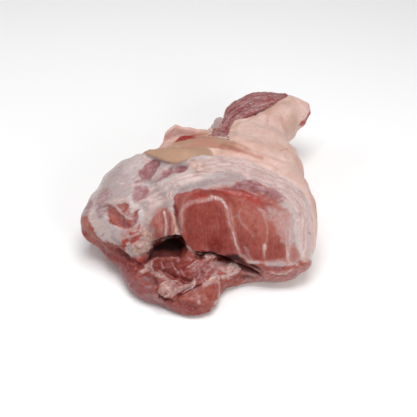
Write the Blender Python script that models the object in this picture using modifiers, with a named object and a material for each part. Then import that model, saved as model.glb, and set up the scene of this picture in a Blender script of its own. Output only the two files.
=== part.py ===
"""A raw leg of pork, boned out from the thick end, with its rind left on.

It lies rind side down with the cut face to the front (-Y) and the shank to the back right.
All sizes are in metres and +Z is up. The muscles are eggs that are fused into one solid,
which is then cut at the lean face, opened where the bone came out, and given its skin
flaps, crumbs of fat, grooves and ridges.
"""

import math
import random

import bmesh
import bpy
import numpy as np
from mathutils import Euler, Vector, noise
from mathutils.bvhtree import BVHTree

# Sizes of the little cubes that fuse the muscles and, later, the finer forms.
COARSE_GRAIN = 0.0034
FINE_GRAIN = 0.0025
MOST_FACES = 12900

# Each muscle is an egg: its centre, its half lengths, and its turn about X, Y and Z in degrees.
MUSCLES = {
    "ham": ((-0.010, 0.022, 0.048), (0.104, 0.086, 0.080), (0, 0, 0)),
    "crown": ((0.022, 0.046, 0.066), (0.084, 0.058, 0.060), (0, 0, -8)),
    "heel": ((0.056, 0.072, 0.050), (0.064, 0.078, 0.062), (0, 0, -10)),
    "left_lobe": ((-0.083, 0.004, 0.045), (0.062, 0.058, 0.059), (0, 0, 10)),
    "left_back": ((-0.074, 0.023, 0.056), (0.062, 0.050, 0.059), (0, 0, -14)),
    "left_under": ((-0.095, -0.028, 0.026), (0.035, 0.029, 0.025), (0, 0, 20)),
    "left_tip": ((-0.128, -0.010, 0.044), (0.028, 0.026, 0.028), (0, 0, 10)),
    "silverside": ((0.055, 0.006, 0.052), (0.076, 0.080, 0.062), (0, 0, 0)),
    "right_side": ((0.084, -0.020, 0.046), (0.047, 0.044, 0.040), (0, 0, 0)),
    "corner": ((0.080, -0.045, 0.030), (0.048, 0.038, 0.036), (0, 0, 0)),
}

# The shank tapers along balls, each given by its centre and its radius.
SHANK = (
    ((0.036, 0.108, 0.060), 0.049),
    ((0.061, 0.154, 0.061), 0.041),
    ((0.084, 0.184, 0.061), 0.037),
    ((0.102, 0.205, 0.060), 0.032),
)
BALLS_PER_SPAN = 4
SHANK_MEAT = ((0.057, 0.181, 0.073), (0.030, 0.055, 0.029), (0, 0, -38))
SHANK_KNUCKLE = ((0.118, 0.204, 0.072), (0.018, 0.020, 0.014), (0, 0, 0))
SINEW = ((0.014, 0.134, 0.090), (0.014, 0.012, 0.012), (0, 0, 30))
SHANK_END = ((0.106, 0.217, 0.065), (0.34, 0.93, 0.10))

# The lean face leans back, and the muscle in the middle of it stands a little proud.
FACE_POINT = (-0.036, -0.060, 0.056)
FACE_LEAN = 30.0
EYE = ((0.040, -0.046, 0.066), (0.078, 0.012, 0.050), (-30, 0, 0))
TENDON_BULGE = ((-0.051, -0.047, 0.068), (0.013, 0.011, 0.018), (-20, 0, 0))

# The loose flap of meat that lies in front of the leg, under the lean face.
FLAP = {
    "flap_body": ((-0.039, -0.073, 0.012), (0.061, 0.043, 0.027), (0, 0, -9)),
    "flap_tip": ((-0.023, -0.101, 0.008), (0.037, 0.028, 0.018), (0, 0, -16)),
    "flap_right": ((0.014, -0.071, 0.010), (0.030, 0.018, 0.018), (0, 0, 20)),
    "shelf": ((0.050, -0.056, 0.010), (0.030, 0.018, 0.014), (0, 0, 0)),
    "flap_left": ((-0.071, -0.062, 0.014), (0.036, 0.028, 0.022), (0, 0, -28)),
}

# Two sheets of skin, each as rows of points from one long edge to the other.
# The back one stands up behind the ridge, and the lip lies over the ridge.
BACK_FLAP_THICKNESS = 0.006
BACK_FLAP = (
    ((-0.057, 0.066, 0.088), (-0.042, 0.072, 0.092), (-0.020, 0.080, 0.094), (0.006, 0.088, 0.092)),
    ((-0.056, 0.072, 0.110), (-0.044, 0.077, 0.112), (-0.020, 0.083, 0.108), (0.005, 0.090, 0.104)),
    ((-0.052, 0.076, 0.124), (-0.043, 0.080, 0.129), (-0.018, 0.086, 0.118), (0.001, 0.091, 0.113)),
)
LIP_THICKNESS = 0.0070
LIP_LIFT = 0.0015
LIP = (
    ((-0.080, 0.042, 0.113), (-0.060, 0.044, 0.121), (-0.038, 0.046, 0.126), (-0.016, 0.048, 0.129),
     (0.004, 0.050, 0.129), (0.022, 0.054, 0.127)),
    ((-0.078, 0.034, 0.115), (-0.066, 0.022, 0.120), (-0.048, 0.006, 0.124), (-0.030, 0.004, 0.126),
     (-0.012, 0.013, 0.129), (0.012, 0.018, 0.128)),
)
SHEET_COLUMNS = 40
SHEET_ROWS = 14

# Crumbled fat: the middle of each heap, how wide it spreads, how many crumbs, and their size.
FAT = {
    "fat_lobe": ((-0.090, -0.060, 0.048), 0.013, 14, 0.0060),
    "fat_ridge": ((-0.012, -0.003, 0.127), 0.011, 12, 0.0050),
    "fat_flap": ((-0.052, -0.104, 0.026), 0.011, 12, 0.0052),
    "fat_gap": ((-0.006, -0.066, 0.040), 0.011, 10, 0.0048),
}

# The whole surface swells and sinks a little, in lumps of about this size and height.
LUMP_SIZE = 0.035
LUMP_HEIGHT = 0.0016

# Where the bone came out, and the gap between the leg and the flap: eggs taken out of the solid.
POCKETS = {
    "tunnel": ((-0.043, -0.036, 0.052), (0.0165, 0.066, 0.0125), (0, 0, 0)),
    "tunnel_left": ((-0.058, -0.060, 0.047), (0.012, 0.032, 0.0075), (0, -20, 0)),
    "tunnel_right": ((-0.035, -0.064, 0.046), (0.010, 0.032, 0.0100), (0, 0, 0)),
    "tunnel_tail": ((-0.066, -0.070, 0.041), (0.015, 0.018, 0.0060), (0, -48, 0)),
    "gap_left": ((-0.006, -0.070, 0.044), (0.020, 0.018, 0.0035), (0, 12, 0)),
    "gap_middle": ((0.018, -0.070, 0.036), (0.018, 0.024, 0.0055), (0, 22, 0)),
    "gap_right": ((0.044, -0.074, 0.026), (0.022, 0.020, 0.0040), (0, 22, 0)),
}

# Grooves and ridges: points that the stroke passes near, its half width, and its height.
# A height below zero makes a groove.
STROKES = {
    "face_rim": (((-0.038, -0.052, 0.054), (-0.037, -0.048, 0.080), (-0.033, -0.034, 0.106),
                  (-0.010, -0.027, 0.113), (0.031, -0.021, 0.111), (0.060, -0.030, 0.104),
                  (0.088, -0.036, 0.094), (0.103, -0.044, 0.082)), 0.007, -0.0030),
    "face_right": (((0.103, -0.044, 0.082), (0.099, -0.054, 0.066), (0.096, -0.062, 0.050),
                    (0.098, -0.068, 0.034)), 0.007, -0.0020),
    "seam": (((-0.026, -0.055, 0.066), (-0.026, -0.042, 0.090), (-0.018, -0.034, 0.102),
              (0.002, -0.033, 0.106), (0.018, -0.034, 0.103), (0.027, -0.041, 0.094),
              (0.031, -0.053, 0.077), (0.037, -0.064, 0.057), (0.043, -0.070, 0.043)), 0.006, -0.0026),
    "neck_crease": (((0.018, 0.062, 0.122), (0.038, 0.046, 0.124), (0.056, 0.040, 0.120),
                     (0.086, 0.044, 0.102)), 0.010, -0.0034),
    "neck_roll": (((0.016, 0.048, 0.128), (0.036, 0.034, 0.126), (0.058, 0.026, 0.120),
                   (0.088, 0.030, 0.102)), 0.010, 0.0024),
    "shank_rind_edge": (((0.104, 0.194, 0.098), (0.080, 0.166, 0.104), (0.059, 0.139, 0.108),
                         (0.040, 0.120, 0.110), (0.026, 0.106, 0.110)), 0.007, -0.0040),
    "shank_strand_1": (((0.086, 0.206, 0.098), (0.060, 0.176, 0.100), (0.030, 0.134, 0.104)),
                       0.005, -0.0022),
    "shank_strand_2": (((0.072, 0.212, 0.092), (0.046, 0.182, 0.094), (0.016, 0.134, 0.094)),
                       0.005, -0.0022),
    "shank_strand_3": (((0.058, 0.210, 0.080), (0.034, 0.176, 0.080), (0.010, 0.136, 0.080)),
                       0.005, -0.0022),
    "lip_shadow": (((-0.077, 0.030, 0.115), (-0.070, 0.020, 0.117), (-0.059, 0.010, 0.118),
                    (-0.046, 0.000, 0.121), (-0.032, -0.003, 0.124), (-0.018, 0.001, 0.128),
                    (-0.004, 0.007, 0.129)), 0.006, -0.0024),
    "lobe_fold": (((-0.094, 0.010, 0.104), (-0.072, -0.010, 0.102), (-0.054, -0.030, 0.094),
                   (-0.047, -0.044, 0.078)), 0.012, -0.0035),
    "lobe_edge": (((-0.146, -0.028, 0.042), (-0.136, -0.034, 0.036), (-0.122, -0.040, 0.030),
                   (-0.106, -0.050, 0.030)), 0.007, -0.0030),
    "lobe_nick": (((-0.122, -0.026, 0.078), (-0.110, -0.036, 0.078), (-0.100, -0.046, 0.070)),
                  0.009, -0.0034),
    "flap_fold": (((-0.078, -0.076, 0.033), (-0.065, -0.083, 0.035), (-0.050, -0.094, 0.036),
                   (-0.038, -0.100, 0.034), (-0.024, -0.099, 0.032), (-0.008, -0.088, 0.034)),
                  0.008, -0.0034),
    "panel_top": (((-0.044, -0.112, 0.016), (-0.030, -0.110, 0.024), (-0.016, -0.103, 0.028),
                   (0.003, -0.092, 0.027)), 0.009, 0.0030),
    "panel_right": (((0.006, -0.095, 0.024), (0.007, -0.104, 0.018), (0.004, -0.114, 0.014),
                     (-0.001, -0.122, 0.009)), 0.006, -0.0028),
    "knob": (((-0.004, -0.082, 0.036), (0.010, -0.080, 0.034), (0.022, -0.076, 0.030)), 0.008, 0.0040),
}
STROKE_POINTS = 24

MEAT_COLOUR = (0.52, 0.22, 0.19, 1.0)
MEAT_ROUGHNESS = 0.42


def new_collection(name):
    made = bpy.data.collections.new(name)
    bpy.context.scene.collection.children.link(made)
    return made


def egg(name, centre, half_lengths, turn=(0, 0, 0), segments=48):
    """A sphere drawn out to its half lengths, turned and put in its place."""
    bpy.ops.mesh.primitive_uv_sphere_add(segments=segments, ring_count=segments // 2, radius=1)
    made = bpy.context.object
    made.name = name
    made.scale = half_lengths
    made.rotation_euler = Euler([math.radians(angle) for angle in turn])
    made.location = centre
    bpy.ops.object.transform_apply()
    return made


def block(name, face_point, outward, size, aside=0.0):
    """A block whose one side passes through the face point and that lies outward of it."""
    bpy.ops.mesh.primitive_cube_add(size=1)
    made = bpy.context.object
    made.name = name
    made.scale = size
    out = Vector(outward).normalized()
    made.rotation_euler = out.to_track_quat("Y", "Z").to_euler()
    made.location = Vector(face_point) + out * size[1] / 2 + Vector((aside, 0, 0))
    bpy.ops.object.transform_apply()
    return made


def join(objects, name):
    bpy.ops.object.select_all(action="DESELECT")
    for one in objects:
        one.select_set(True)
    bpy.context.view_layer.objects.active = objects[0]
    bpy.ops.object.join()
    objects[0].name = name
    return objects[0]


def apply_modifiers(obj):
    bpy.context.view_layer.objects.active = obj
    for modifier in list(obj.modifiers):
        bpy.ops.object.modifier_apply(modifier=modifier.name)


def fuse(obj, grain, smoothing):
    """Makes one closed skin round everything in the object, and softens it."""
    remesh = obj.modifiers.new("grain", "REMESH")
    remesh.mode = "VOXEL"
    remesh.voxel_size = grain
    soften = obj.modifiers.new("soften", "SMOOTH")
    soften.factor = 0.5
    soften.iterations = smoothing
    apply_modifiers(obj)


def keep_outer_skin(obj):
    """Drops loose scraps, and fills hollows that the fusing has sealed, by keeping the largest skin."""
    mesh = bmesh.new()
    mesh.from_mesh(obj.data)
    left = set(mesh.verts)
    skins = []
    while left:
        front = [left.pop()]
        skin = list(front)
        while front:
            corner = front.pop()
            for edge in corner.link_edges:
                other = edge.other_vert(corner)
                if other in left:
                    left.remove(other)
                    front.append(other)
                    skin.append(other)
        skins.append(skin)
    skins.sort(key=len)
    for skin in skins[:-1]:
        bmesh.ops.delete(mesh, geom=skin, context="VERTS")
    mesh.to_mesh(obj.data)
    mesh.free()


def carve(obj, cutters, collection):
    """Takes the cutters away from the solid, and keeps them hidden in their own collection."""
    for cutter in cutters:
        for holder in list(cutter.users_collection):
            holder.objects.unlink(cutter)
        collection.objects.link(cutter)
        cutter.hide_render = True
        cutter.display_type = "WIRE"
        cut = obj.modifiers.new(cutter.name, "BOOLEAN")
        cut.operation = "DIFFERENCE"
        cut.object = cutter
    apply_modifiers(obj)


def surface(obj):
    return BVHTree.FromObject(obj, bpy.context.evaluated_depsgraph_get())


def smooth_path(points, count):
    """Evenly stepped points on a smooth curve through the given ones."""
    points = [Vector(point) for point in points]
    points = [points[0] * 2 - points[1]] + points + [points[-1] * 2 - points[-2]]
    spans = len(points) - 3
    path = []
    for step in range(count):
        place = step / (count - 1) * spans
        span = min(int(place), spans - 1)
        t = place - span
        a, b, c, d = points[span:span + 4]
        slope = (c - a) * t
        bend = (a * 2 - b * 5 + c * 4 - d) * t**2
        twist = (b * 3 - a - c * 3 + d) * t**3
        path.append(b + (slope + bend + twist) / 2)
    return path


def sheet(name, rows, thickness, over=None, lift=0.0):
    """A skin through the rows of points. With `over`, it is laid on that solid instead."""
    tree = surface(over) if over else None
    columns = [smooth_path(row, SHEET_COLUMNS) for row in rows]
    lines = zip(*[smooth_path(column, SHEET_ROWS) for column in zip(*columns)])
    mesh = bmesh.new()
    grid = []
    for line in lines:
        corners = []
        for place in line:
            if tree:
                hit, normal, _, _ = tree.find_nearest(place)
                place = hit + normal * lift
            corners.append(mesh.verts.new(place))
        grid.append(corners)
    for low, high in zip(grid, grid[1:]):
        for corners in zip(low, low[1:], high[1:], high):
            mesh.faces.new(corners)
    data = bpy.data.meshes.new(name)
    mesh.to_mesh(data)
    mesh.free()
    made = bpy.data.objects.new(name, data)
    bpy.context.scene.collection.objects.link(made)
    solidify = made.modifiers.new("thickness", "SOLIDIFY")
    solidify.thickness = thickness
    solidify.offset = 0
    apply_modifiers(made)
    return made


def shank():
    balls = []
    for (near, near_radius), (far, far_radius) in zip(SHANK, SHANK[1:]):
        for step in range(BALLS_PER_SPAN + 1):
            t = step / BALLS_PER_SPAN
            radius = near_radius + (far_radius - near_radius) * t
            balls.append(egg("shank", Vector(near).lerp(Vector(far), t), (radius,) * 3))
    return balls


def crumbs(name, centre, spread, count, size, over):
    """A heap of small uneven eggs, sunk a little into the solid they lie on."""
    draw = random.Random(name)
    tree = surface(over)
    heap = []
    for _ in range(count):
        aside = Vector([draw.gauss(0, spread / 2) for _ in range(3)])
        hit, normal, _, _ = tree.find_nearest(Vector(centre) + aside)
        half_lengths = [size * draw.uniform(0.7, 1.2) for _ in range(3)]
        turn = [draw.uniform(0, 90) for _ in range(3)]
        heap.append(egg(name, hit + normal * size * 0.2, half_lengths, turn, 16))
    return heap


def places_and_normals(obj):
    places = np.empty(len(obj.data.vertices) * 3)
    normals = np.empty(len(obj.data.vertices) * 3)
    obj.data.vertices.foreach_get("co", places)
    obj.data.vertex_normals.foreach_get("vector", normals)
    return places.reshape(-1, 3), normals.reshape(-1, 3)


def push(obj, places, normals, heights):
    moved = places + normals * heights[:, None]
    obj.data.vertices.foreach_set("co", moved.ravel())
    obj.data.update()


def stroke(obj, points, half_width, height):
    """Raises or sinks the surface along a path, most in the middle and none at the sides."""
    tree = surface(obj)
    path = [np.array(tree.find_nearest(point)[0]) for point in smooth_path(points, STROKE_POINTS)]
    places, normals = places_and_normals(obj)
    distance = np.full(len(places), np.inf)
    for start, end in zip(path, path[1:]):
        along = end - start
        share = np.clip((places - start) @ along / (along @ along), 0, 1)
        foot = start + share[:, None] * along
        distance = np.minimum(distance, np.linalg.norm(places - foot, axis=1))
    profile = np.clip(1 - (distance / half_width) ** 2, 0, 1) ** 2
    push(obj, places, normals, profile * height)


def swell(obj, lump_size, height):
    places, normals = places_and_normals(obj)
    lumps = np.array([noise.noise(Vector(place) / lump_size) for place in places])
    push(obj, places, normals, lumps * height)


def flatten_base(obj):
    """Cuts the solid level at z = 0, so that it rests on one flat face."""
    mesh = bmesh.new()
    mesh.from_mesh(obj.data)
    everything = mesh.verts[:] + mesh.edges[:] + mesh.faces[:]
    cut = bmesh.ops.bisect_plane(
        mesh, geom=everything, dist=1e-6, plane_co=(0, 0, 0), plane_no=(0, 0, -1), clear_outer=True
    )
    rim = [part for part in cut["geom_cut"] if isinstance(part, bmesh.types.BMEdge)]
    for corner in {corner for edge in rim for corner in edge.verts}:
        corner.co.z = 0
    bmesh.ops.contextual_create(mesh, geom=rim)
    bmesh.ops.triangulate(mesh, faces=mesh.faces[:])
    mesh.to_mesh(obj.data)
    mesh.free()


def centre_on_origin(obj):
    """Moves the leg so that the middle of its box stands over the origin."""
    places, _ = places_and_normals(obj)
    middle = (places.min(axis=0) + places.max(axis=0)) / 2
    places[:, :2] -= middle[:2]
    obj.data.vertices.foreach_set("co", places.ravel())
    obj.data.update()


def colour(obj, name, base_colour, roughness):
    material = bpy.data.materials.new(name)
    material.use_nodes = True
    shader = material.node_tree.nodes["Principled BSDF"]
    shader.inputs["Base Color"].default_value = base_colour
    shader.inputs["Roughness"].default_value = roughness
    shader.inputs["Metallic"].default_value = 0.0
    obj.data.materials.clear()
    obj.data.materials.append(material)


for old in list(bpy.data.objects):
    bpy.data.objects.remove(old)
parts = new_collection("pork_leg")
cutters = new_collection("cutters")

# The big muscles and the shank, cut off at the lean face.
leg = join([egg(name, *spec) for name, spec in MUSCLES.items()] + shank(), "pork_leg")
fuse(leg, COARSE_GRAIN, 14)
lean = math.radians(FACE_LEAN)
face_outward = (0, -math.cos(lean), math.sin(lean))
carve(leg, [block("face_cut", FACE_POINT, face_outward, (0.30, 0.10, 0.30), 0.15)], cutters)

# The flap and the muscles that stand proud, then the cut end of the shank.
flap = join([egg(name, *spec) for name, spec in FLAP.items()], "flap")
fuse(flap, COARSE_GRAIN, 6)
proud = [egg("eye", *EYE), egg("tendon_bulge", *TENDON_BULGE), egg("shank_meat", *SHANK_MEAT), egg("sinew", *SINEW)]
leg = join([leg, flap] + proud, "pork_leg")
fuse(leg, COARSE_GRAIN, 6)
leg = join([leg, egg("shank_knuckle", *SHANK_KNUCKLE)], "pork_leg")
fuse(leg, COARSE_GRAIN, 2)
carve(leg, [block("shank_cut", *SHANK_END, (0.20, 0.06, 0.20))], cutters)

# The skin sheets and the crumbled fat.
extras = [sheet("back_flap", BACK_FLAP, BACK_FLAP_THICKNESS), sheet("lip", LIP, LIP_THICKNESS, leg, LIP_LIFT)]
for name, spec in FAT.items():
    extras += crumbs(name, *spec, leg)
leg = join([leg] + extras, "pork_leg")
fuse(leg, FINE_GRAIN, 1)
swell(leg, LUMP_SIZE, LUMP_HEIGHT)

# The pockets, the grooves and the ridges.
carve(leg, [egg(name, *spec) for name, spec in POCKETS.items()], cutters)
fuse(leg, FINE_GRAIN, 2)
for points, half_width, height in STROKES.values():
    stroke(leg, points, half_width, height)

# Fewer faces where the surface is smooth, and a level base.
thin = leg.modifiers.new("thin", "DECIMATE")
thin.ratio = MOST_FACES / (2 * len(leg.data.polygons))
apply_modifiers(leg)
flatten_base(leg)
keep_outer_skin(leg)
centre_on_origin(leg)
colour(leg, "raw_meat", MEAT_COLOUR, MEAT_ROUGHNESS)
leg.data.shade_smooth()
for holder in list(leg.users_collection):
    holder.objects.unlink(leg)
parts.objects.link(leg)
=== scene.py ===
"""Looks of a raw leg of pork, boned out from the thick end, with its rind left on.

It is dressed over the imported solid. All sizes are in metres and +Z is up. The cut face is to
the front (-Y) and the shank to the back right. Outlines and paths given in pixels are those
of the photograph, 417 pixels square, and reach the leg's surface through the scene's camera.
"""

import math

import bmesh
import bpy
import numpy as np
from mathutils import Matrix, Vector, noise
from mathutils.bvhtree import BVHTree


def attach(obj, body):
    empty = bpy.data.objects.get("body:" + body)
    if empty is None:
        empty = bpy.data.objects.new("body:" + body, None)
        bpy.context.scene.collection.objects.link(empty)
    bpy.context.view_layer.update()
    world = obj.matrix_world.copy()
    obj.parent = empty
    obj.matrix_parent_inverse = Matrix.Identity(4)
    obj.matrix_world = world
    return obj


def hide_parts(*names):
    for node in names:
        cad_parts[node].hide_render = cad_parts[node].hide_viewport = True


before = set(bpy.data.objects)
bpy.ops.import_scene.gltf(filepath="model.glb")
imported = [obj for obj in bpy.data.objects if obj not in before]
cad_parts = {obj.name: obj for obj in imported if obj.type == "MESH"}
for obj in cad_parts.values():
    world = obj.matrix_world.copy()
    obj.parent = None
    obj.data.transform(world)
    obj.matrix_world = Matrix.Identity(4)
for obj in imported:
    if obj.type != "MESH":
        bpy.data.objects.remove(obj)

SCENE = bpy.context.scene
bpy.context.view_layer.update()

# ---------------------------------------------------------------------------------------------
# The view. The camera looks down on the lean face from in front, as in the photograph. Its
# place follows from the point that it looks at, the angle it looks down by, and its distance.
PHOTO_SIDE = 417
LOOK_AT = Vector((0.0095, -0.0500, 0.0600))
LOOK_DOWN = math.radians(38.0)
CAMERA_DISTANCE = 1.25
HALF_VIEW = 0.20016
SENSOR_WIDTH = 36.0

camera_data = bpy.data.cameras.new("camera")
camera_data.sensor_width = SENSOR_WIDTH
camera_data.lens = SENSOR_WIDTH / 2 / HALF_VIEW
camera = bpy.data.objects.new("camera", camera_data)
SCENE.collection.objects.link(camera)
towards_camera = Vector((0, -math.cos(LOOK_DOWN), math.sin(LOOK_DOWN)))
camera.location = LOOK_AT + towards_camera * CAMERA_DISTANCE
camera.rotation_euler = towards_camera.to_track_quat("Z", "Y").to_euler()
SCENE.camera = camera
bpy.context.view_layer.update()

SCENE.view_settings.view_transform = "Standard"
SCENE.view_settings.look = "None"


def photo_points(places):
    """Where points in the row frame fall in the photograph, in pixels from its top left."""
    inverse = np.array(camera.matrix_world.inverted())
    seen = places @ inverse[:3, :3].T + inverse[:3, 3]
    scale = PHOTO_SIDE / 2 / HALF_VIEW
    across = PHOTO_SIDE / 2 - scale * seen[:, 0] / seen[:, 2]
    down = PHOTO_SIDE / 2 + scale * seen[:, 1] / seen[:, 2]
    return np.stack([across, down], axis=1)


# ---------------------------------------------------------------------------------------------
# The floor and the light. A pale sweep with no edge in view, lit by wide soft lamps from
# above, from the front left and from behind, as in a product photograph.
FLOOR_SIZE = 12.0
FLOOR_COLOUR = (0.93, 0.93, 0.93, 1.0)
WORLD_LIGHT = 0.34
LAMPS = {
    "lamp_above": ((0.10, -0.10, 1.40), 0.8, 12.0),
    "lamp_front": ((0.85, -1.20, 0.80), 0.7, 9.0),
    "lamp_left": ((-1.20, 0.20, 0.90), 0.8, 4.0),
    "lamp_glint": ((-0.30, -0.35, 1.20), 0.10, 0.9),
}


def new_material(name):
    """A material with a Principled BSDF; gives the material, its node tree and that node."""
    material = bpy.data.materials.new(name)
    material.use_nodes = True
    return material, material.node_tree, material.node_tree.nodes["Principled BSDF"]


bpy.ops.mesh.primitive_plane_add(size=FLOOR_SIZE)
floor = bpy.context.object
floor.name = "floor"
floor_paint, _, floor_shader = new_material("pale_floor")
floor_shader.inputs["Base Color"].default_value = FLOOR_COLOUR
floor_shader.inputs["Roughness"].default_value = 0.9
floor.data.materials.append(floor_paint)

world = bpy.data.worlds.new("soft_light")
world.use_nodes = True
world.node_tree.nodes["Background"].inputs["Color"].default_value = (1, 1, 1, 1)
world.node_tree.nodes["Background"].inputs["Strength"].default_value = WORLD_LIGHT
SCENE.world = world

for name, (place, side, power) in LAMPS.items():
    lamp_data = bpy.data.lights.new(name, "AREA")
    lamp_data.size = side
    lamp_data.energy = power
    lamp = bpy.data.objects.new(name, lamp_data)
    lamp.location = place
    lamp.rotation_euler = (Vector(place) - LOOK_AT).to_track_quat("Z", "Y").to_euler()
    SCENE.collection.objects.link(lamp)

# ---------------------------------------------------------------------------------------------
# The leg itself: lean meat, silverskin, fat and rind in one skin of fine faces. It starts from
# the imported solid, is softened, and is then given its cut edges, folds, strands and lumps.
GRAIN = 0.0012
SOFTENING = 14
SOFTENING_BEHIND = 130
MOST_TRIANGLES = 196000
SAME_POINT = 1e-5


def settle(obj):
    """Turns the object's modifiers into plain mesh."""
    bpy.context.view_layer.update()
    shown = obj.evaluated_get(bpy.context.evaluated_depsgraph_get())
    mesh = bpy.data.meshes.new_from_object(shown)
    obj.modifiers.clear()
    obj.data = mesh


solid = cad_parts["pork_leg"]
leg = bpy.data.objects.new("leg_body", solid.data.copy())
SCENE.collection.objects.link(leg)
leg.data.materials.clear()
merged = bmesh.new()
merged.from_mesh(leg.data)
bmesh.ops.remove_doubles(merged, verts=merged.verts, dist=SAME_POINT)
merged.to_mesh(leg.data)
merged.free()
remesh = leg.modifiers.new("grain", "REMESH")
remesh.mode = "VOXEL"
remesh.voxel_size = GRAIN
soften = leg.modifiers.new("soften", "SMOOTH")
soften.factor = 0.5
soften.iterations = SOFTENING
settle(leg)


def vectors(layer, field):
    """The three numbers that each element of the layer holds in this field, one row each."""
    flat = np.empty(len(layer) * 3)
    layer.foreach_get(field, flat)
    return flat.reshape(-1, 3)


def places_and_normals(obj):
    """Where the corners of the object's mesh are, and which way the surface faces there."""
    return vectors(obj.data.vertices, "co"), vectors(obj.data.vertex_normals, "vector")


def step_up(values, low, high):
    """0 below low, 1 above high, and a soft step between."""
    share = np.clip((values - low) / (high - low), 0, 1)
    return share * share * (3 - 2 * share)


def blend(first, second, share):
    """The first values where the share is 0, the second where it is 1, and a mix between."""
    return first * (1 - share) + second * share


def facing(places, normals):
    """How far each corner faces the camera: 1 straight at it, 0 side on, below 0 turned away."""
    to_eye = np.array(camera.location) - places
    to_eye /= np.linalg.norm(to_eye, axis=1)[:, None]
    return (to_eye * normals).sum(axis=1)


TURNED_AWAY = (-0.15, 0.05)
OFF_THE_FLOOR = (0.002, 0.006)


def plain_behind():
    """Softens the sides that the camera doesn't see, and collapses their small faces."""
    places, normals = places_and_normals(leg)
    shown = step_up(facing(places, normals), *TURNED_AWAY)
    away = 1 - shown * step_up(places[:, 2], *OFF_THE_FLOOR)
    group = leg.vertex_groups.new(name="away")
    for level in range(1, 5):
        group.add(np.flatnonzero(np.round(away * 4) == level).tolist(), level / 4, "REPLACE")
    rounder = leg.modifiers.new("rounder", "SMOOTH")
    rounder.vertex_group = group.name
    rounder.factor = 0.5
    rounder.iterations = SOFTENING_BEHIND
    thin = leg.modifiers.new("thin", "DECIMATE")
    thin.vertex_group = group.name
    thin.vertex_group_factor = 10.0
    thin.ratio = MOST_TRIANGLES / sum(len(face.vertices) - 2 for face in leg.data.polygons)
    settle(leg)
    leg.vertex_groups.clear()


plain_behind()
leg_places, leg_normals = places_and_normals(leg)
edge_ends = np.empty(len(leg.data.edges) * 2, dtype=np.int64)
leg.data.edges.foreach_get("vertices", edge_ends)
edge_ends = edge_ends.reshape(-1, 2)
neighbours = np.bincount(edge_ends.ravel(), minlength=len(leg_places))


def spread(values, rounds):
    """Averages a value on every corner with its neighbours' values, round after round."""
    for _ in range(rounds):
        total = np.bincount(edge_ends[:, 0], values[edge_ends[:, 1]], len(values))
        total += np.bincount(edge_ends[:, 1], values[edge_ends[:, 0]], len(values))
        values = (values + total / neighbours) / 2
    return values


def move_leg(places):
    """Moves the leg's corners to these places, or straight up to the floor from below it."""
    places[:, 2] = np.maximum(places[:, 2], 0)
    leg.data.vertices.foreach_set("co", places.ravel())
    leg.data.update()


# Small corrections of the leg's outline against the photograph: where, how far, and over how
# wide a spot the surface is moved, all in pixels.
PIXEL_SIZE = 2 * HALF_VIEW * CAMERA_DISTANCE / PHOTO_SIDE
PULLS = (
    ((168, 127), (2.5, 1.5), 7), ((172, 124.5), (0.5, 1.8), 5), ((182, 126), (0.0, 1.6), 9),
    ((156, 148), (0.5, 2.0), 8), ((165, 132), (0.5, 0.5), 5),
    ((112, 164), (1.5, 2.5), 16), ((128, 157), (0.5, 1.5), 12), ((90, 198), (-3.0, -1.0), 16),
    ((86, 212), (-1.5, 0.0), 10), ((78, 226), (1.0, 0.0), 8),
    ((225, 109), (-2.5, -2.5), 12), ((234, 102), (-1.5, -1.5), 8), ((211, 122), (2.5, 1.0), 8),
    ((262, 91), (0.0, 1.0), 12), ((310, 114), (2.5, 0.5), 8), ((308, 104), (1.5, -0.5), 6),
    ((299, 131), (-2.5, -1.5), 10), ((292, 142), (-3.0, 0.0), 8), ((299, 156), (-1.5, 0.0), 10),
    ((312, 194), (-2.5, 0.0), 14), ((316, 208), (-1.0, 0.0), 10), ((316, 256), (-2.5, -1.0), 12),
    ((302, 276), (-1.0, -1.5), 9), ((219, 300), (-3.0, 0.0), 9), ((230, 290), (-1.5, -1.5), 9),
    ((214, 309), (-2.0, -1.0), 6), ((286, 93.5), (0.0, -1.0), 4),
)
leg_pixels = photo_points(leg_places)
turned_to_camera = np.array(camera.matrix_world.to_3x3())
moves = np.zeros_like(leg_places)
for centre, (right, down), radius in PULLS:
    share = 1 - step_up(np.linalg.norm(leg_pixels - centre, axis=1), 0, radius)
    step = (turned_to_camera[:, 0] * right - turned_to_camera[:, 1] * down) * PIXEL_SIZE
    moves += share[:, None] * step
move_leg(leg_places + moves)
leg_places, leg_normals = places_and_normals(leg)
leg_pixels = photo_points(leg_places)


VIEW_RAY_START = 0.002
STEEPEST_VIEW = -0.2
OUT_OF_VIEW = (-0.10, 0.12)


def in_view():
    """1 where the camera sees the surface, 0 where it is turned away or covered."""
    tree = BVHTree.FromObject(leg, bpy.context.evaluated_depsgraph_get())
    eye = camera.location
    clear = np.zeros(len(leg_places))
    for index, (place, normal) in enumerate(zip(leg_places, leg_normals)):
        start = Vector(place) + Vector(normal) * VIEW_RAY_START
        towards = (eye - start).normalized()
        if towards.dot(Vector(normal)) > STEEPEST_VIEW:
            clear[index] = tree.ray_cast(start, towards)[0] is None
    turned = spread(facing(leg_places, leg_normals), 4)
    return spread(clear, 2) * step_up(turned, *OUT_OF_VIEW)


seen = in_view()


CREVICE_RAY_START = 0.001
CREVICE_REACH = 0.022


def closed_in():
    """How deep in a crevice each corner lies: the share of short rays that meet the leg again."""
    tree = BVHTree.FromObject(leg, bpy.context.evaluated_depsgraph_get())
    share = np.zeros(len(leg_places))
    for index, (place, normal) in enumerate(zip(leg_places, leg_normals)):
        out = Vector(normal)
        side = out.orthogonal().normalized()
        other = out.cross(side)
        start = Vector(place) + out * CREVICE_RAY_START
        for lean in (out, out + side, out - side, out + other, out - other):
            share[index] += tree.ray_cast(start, lean, CREVICE_REACH)[0] is not None
    return spread(share / 5, 2)


crevice = closed_in()


NOISE_TO_ONE = 1.6


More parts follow.
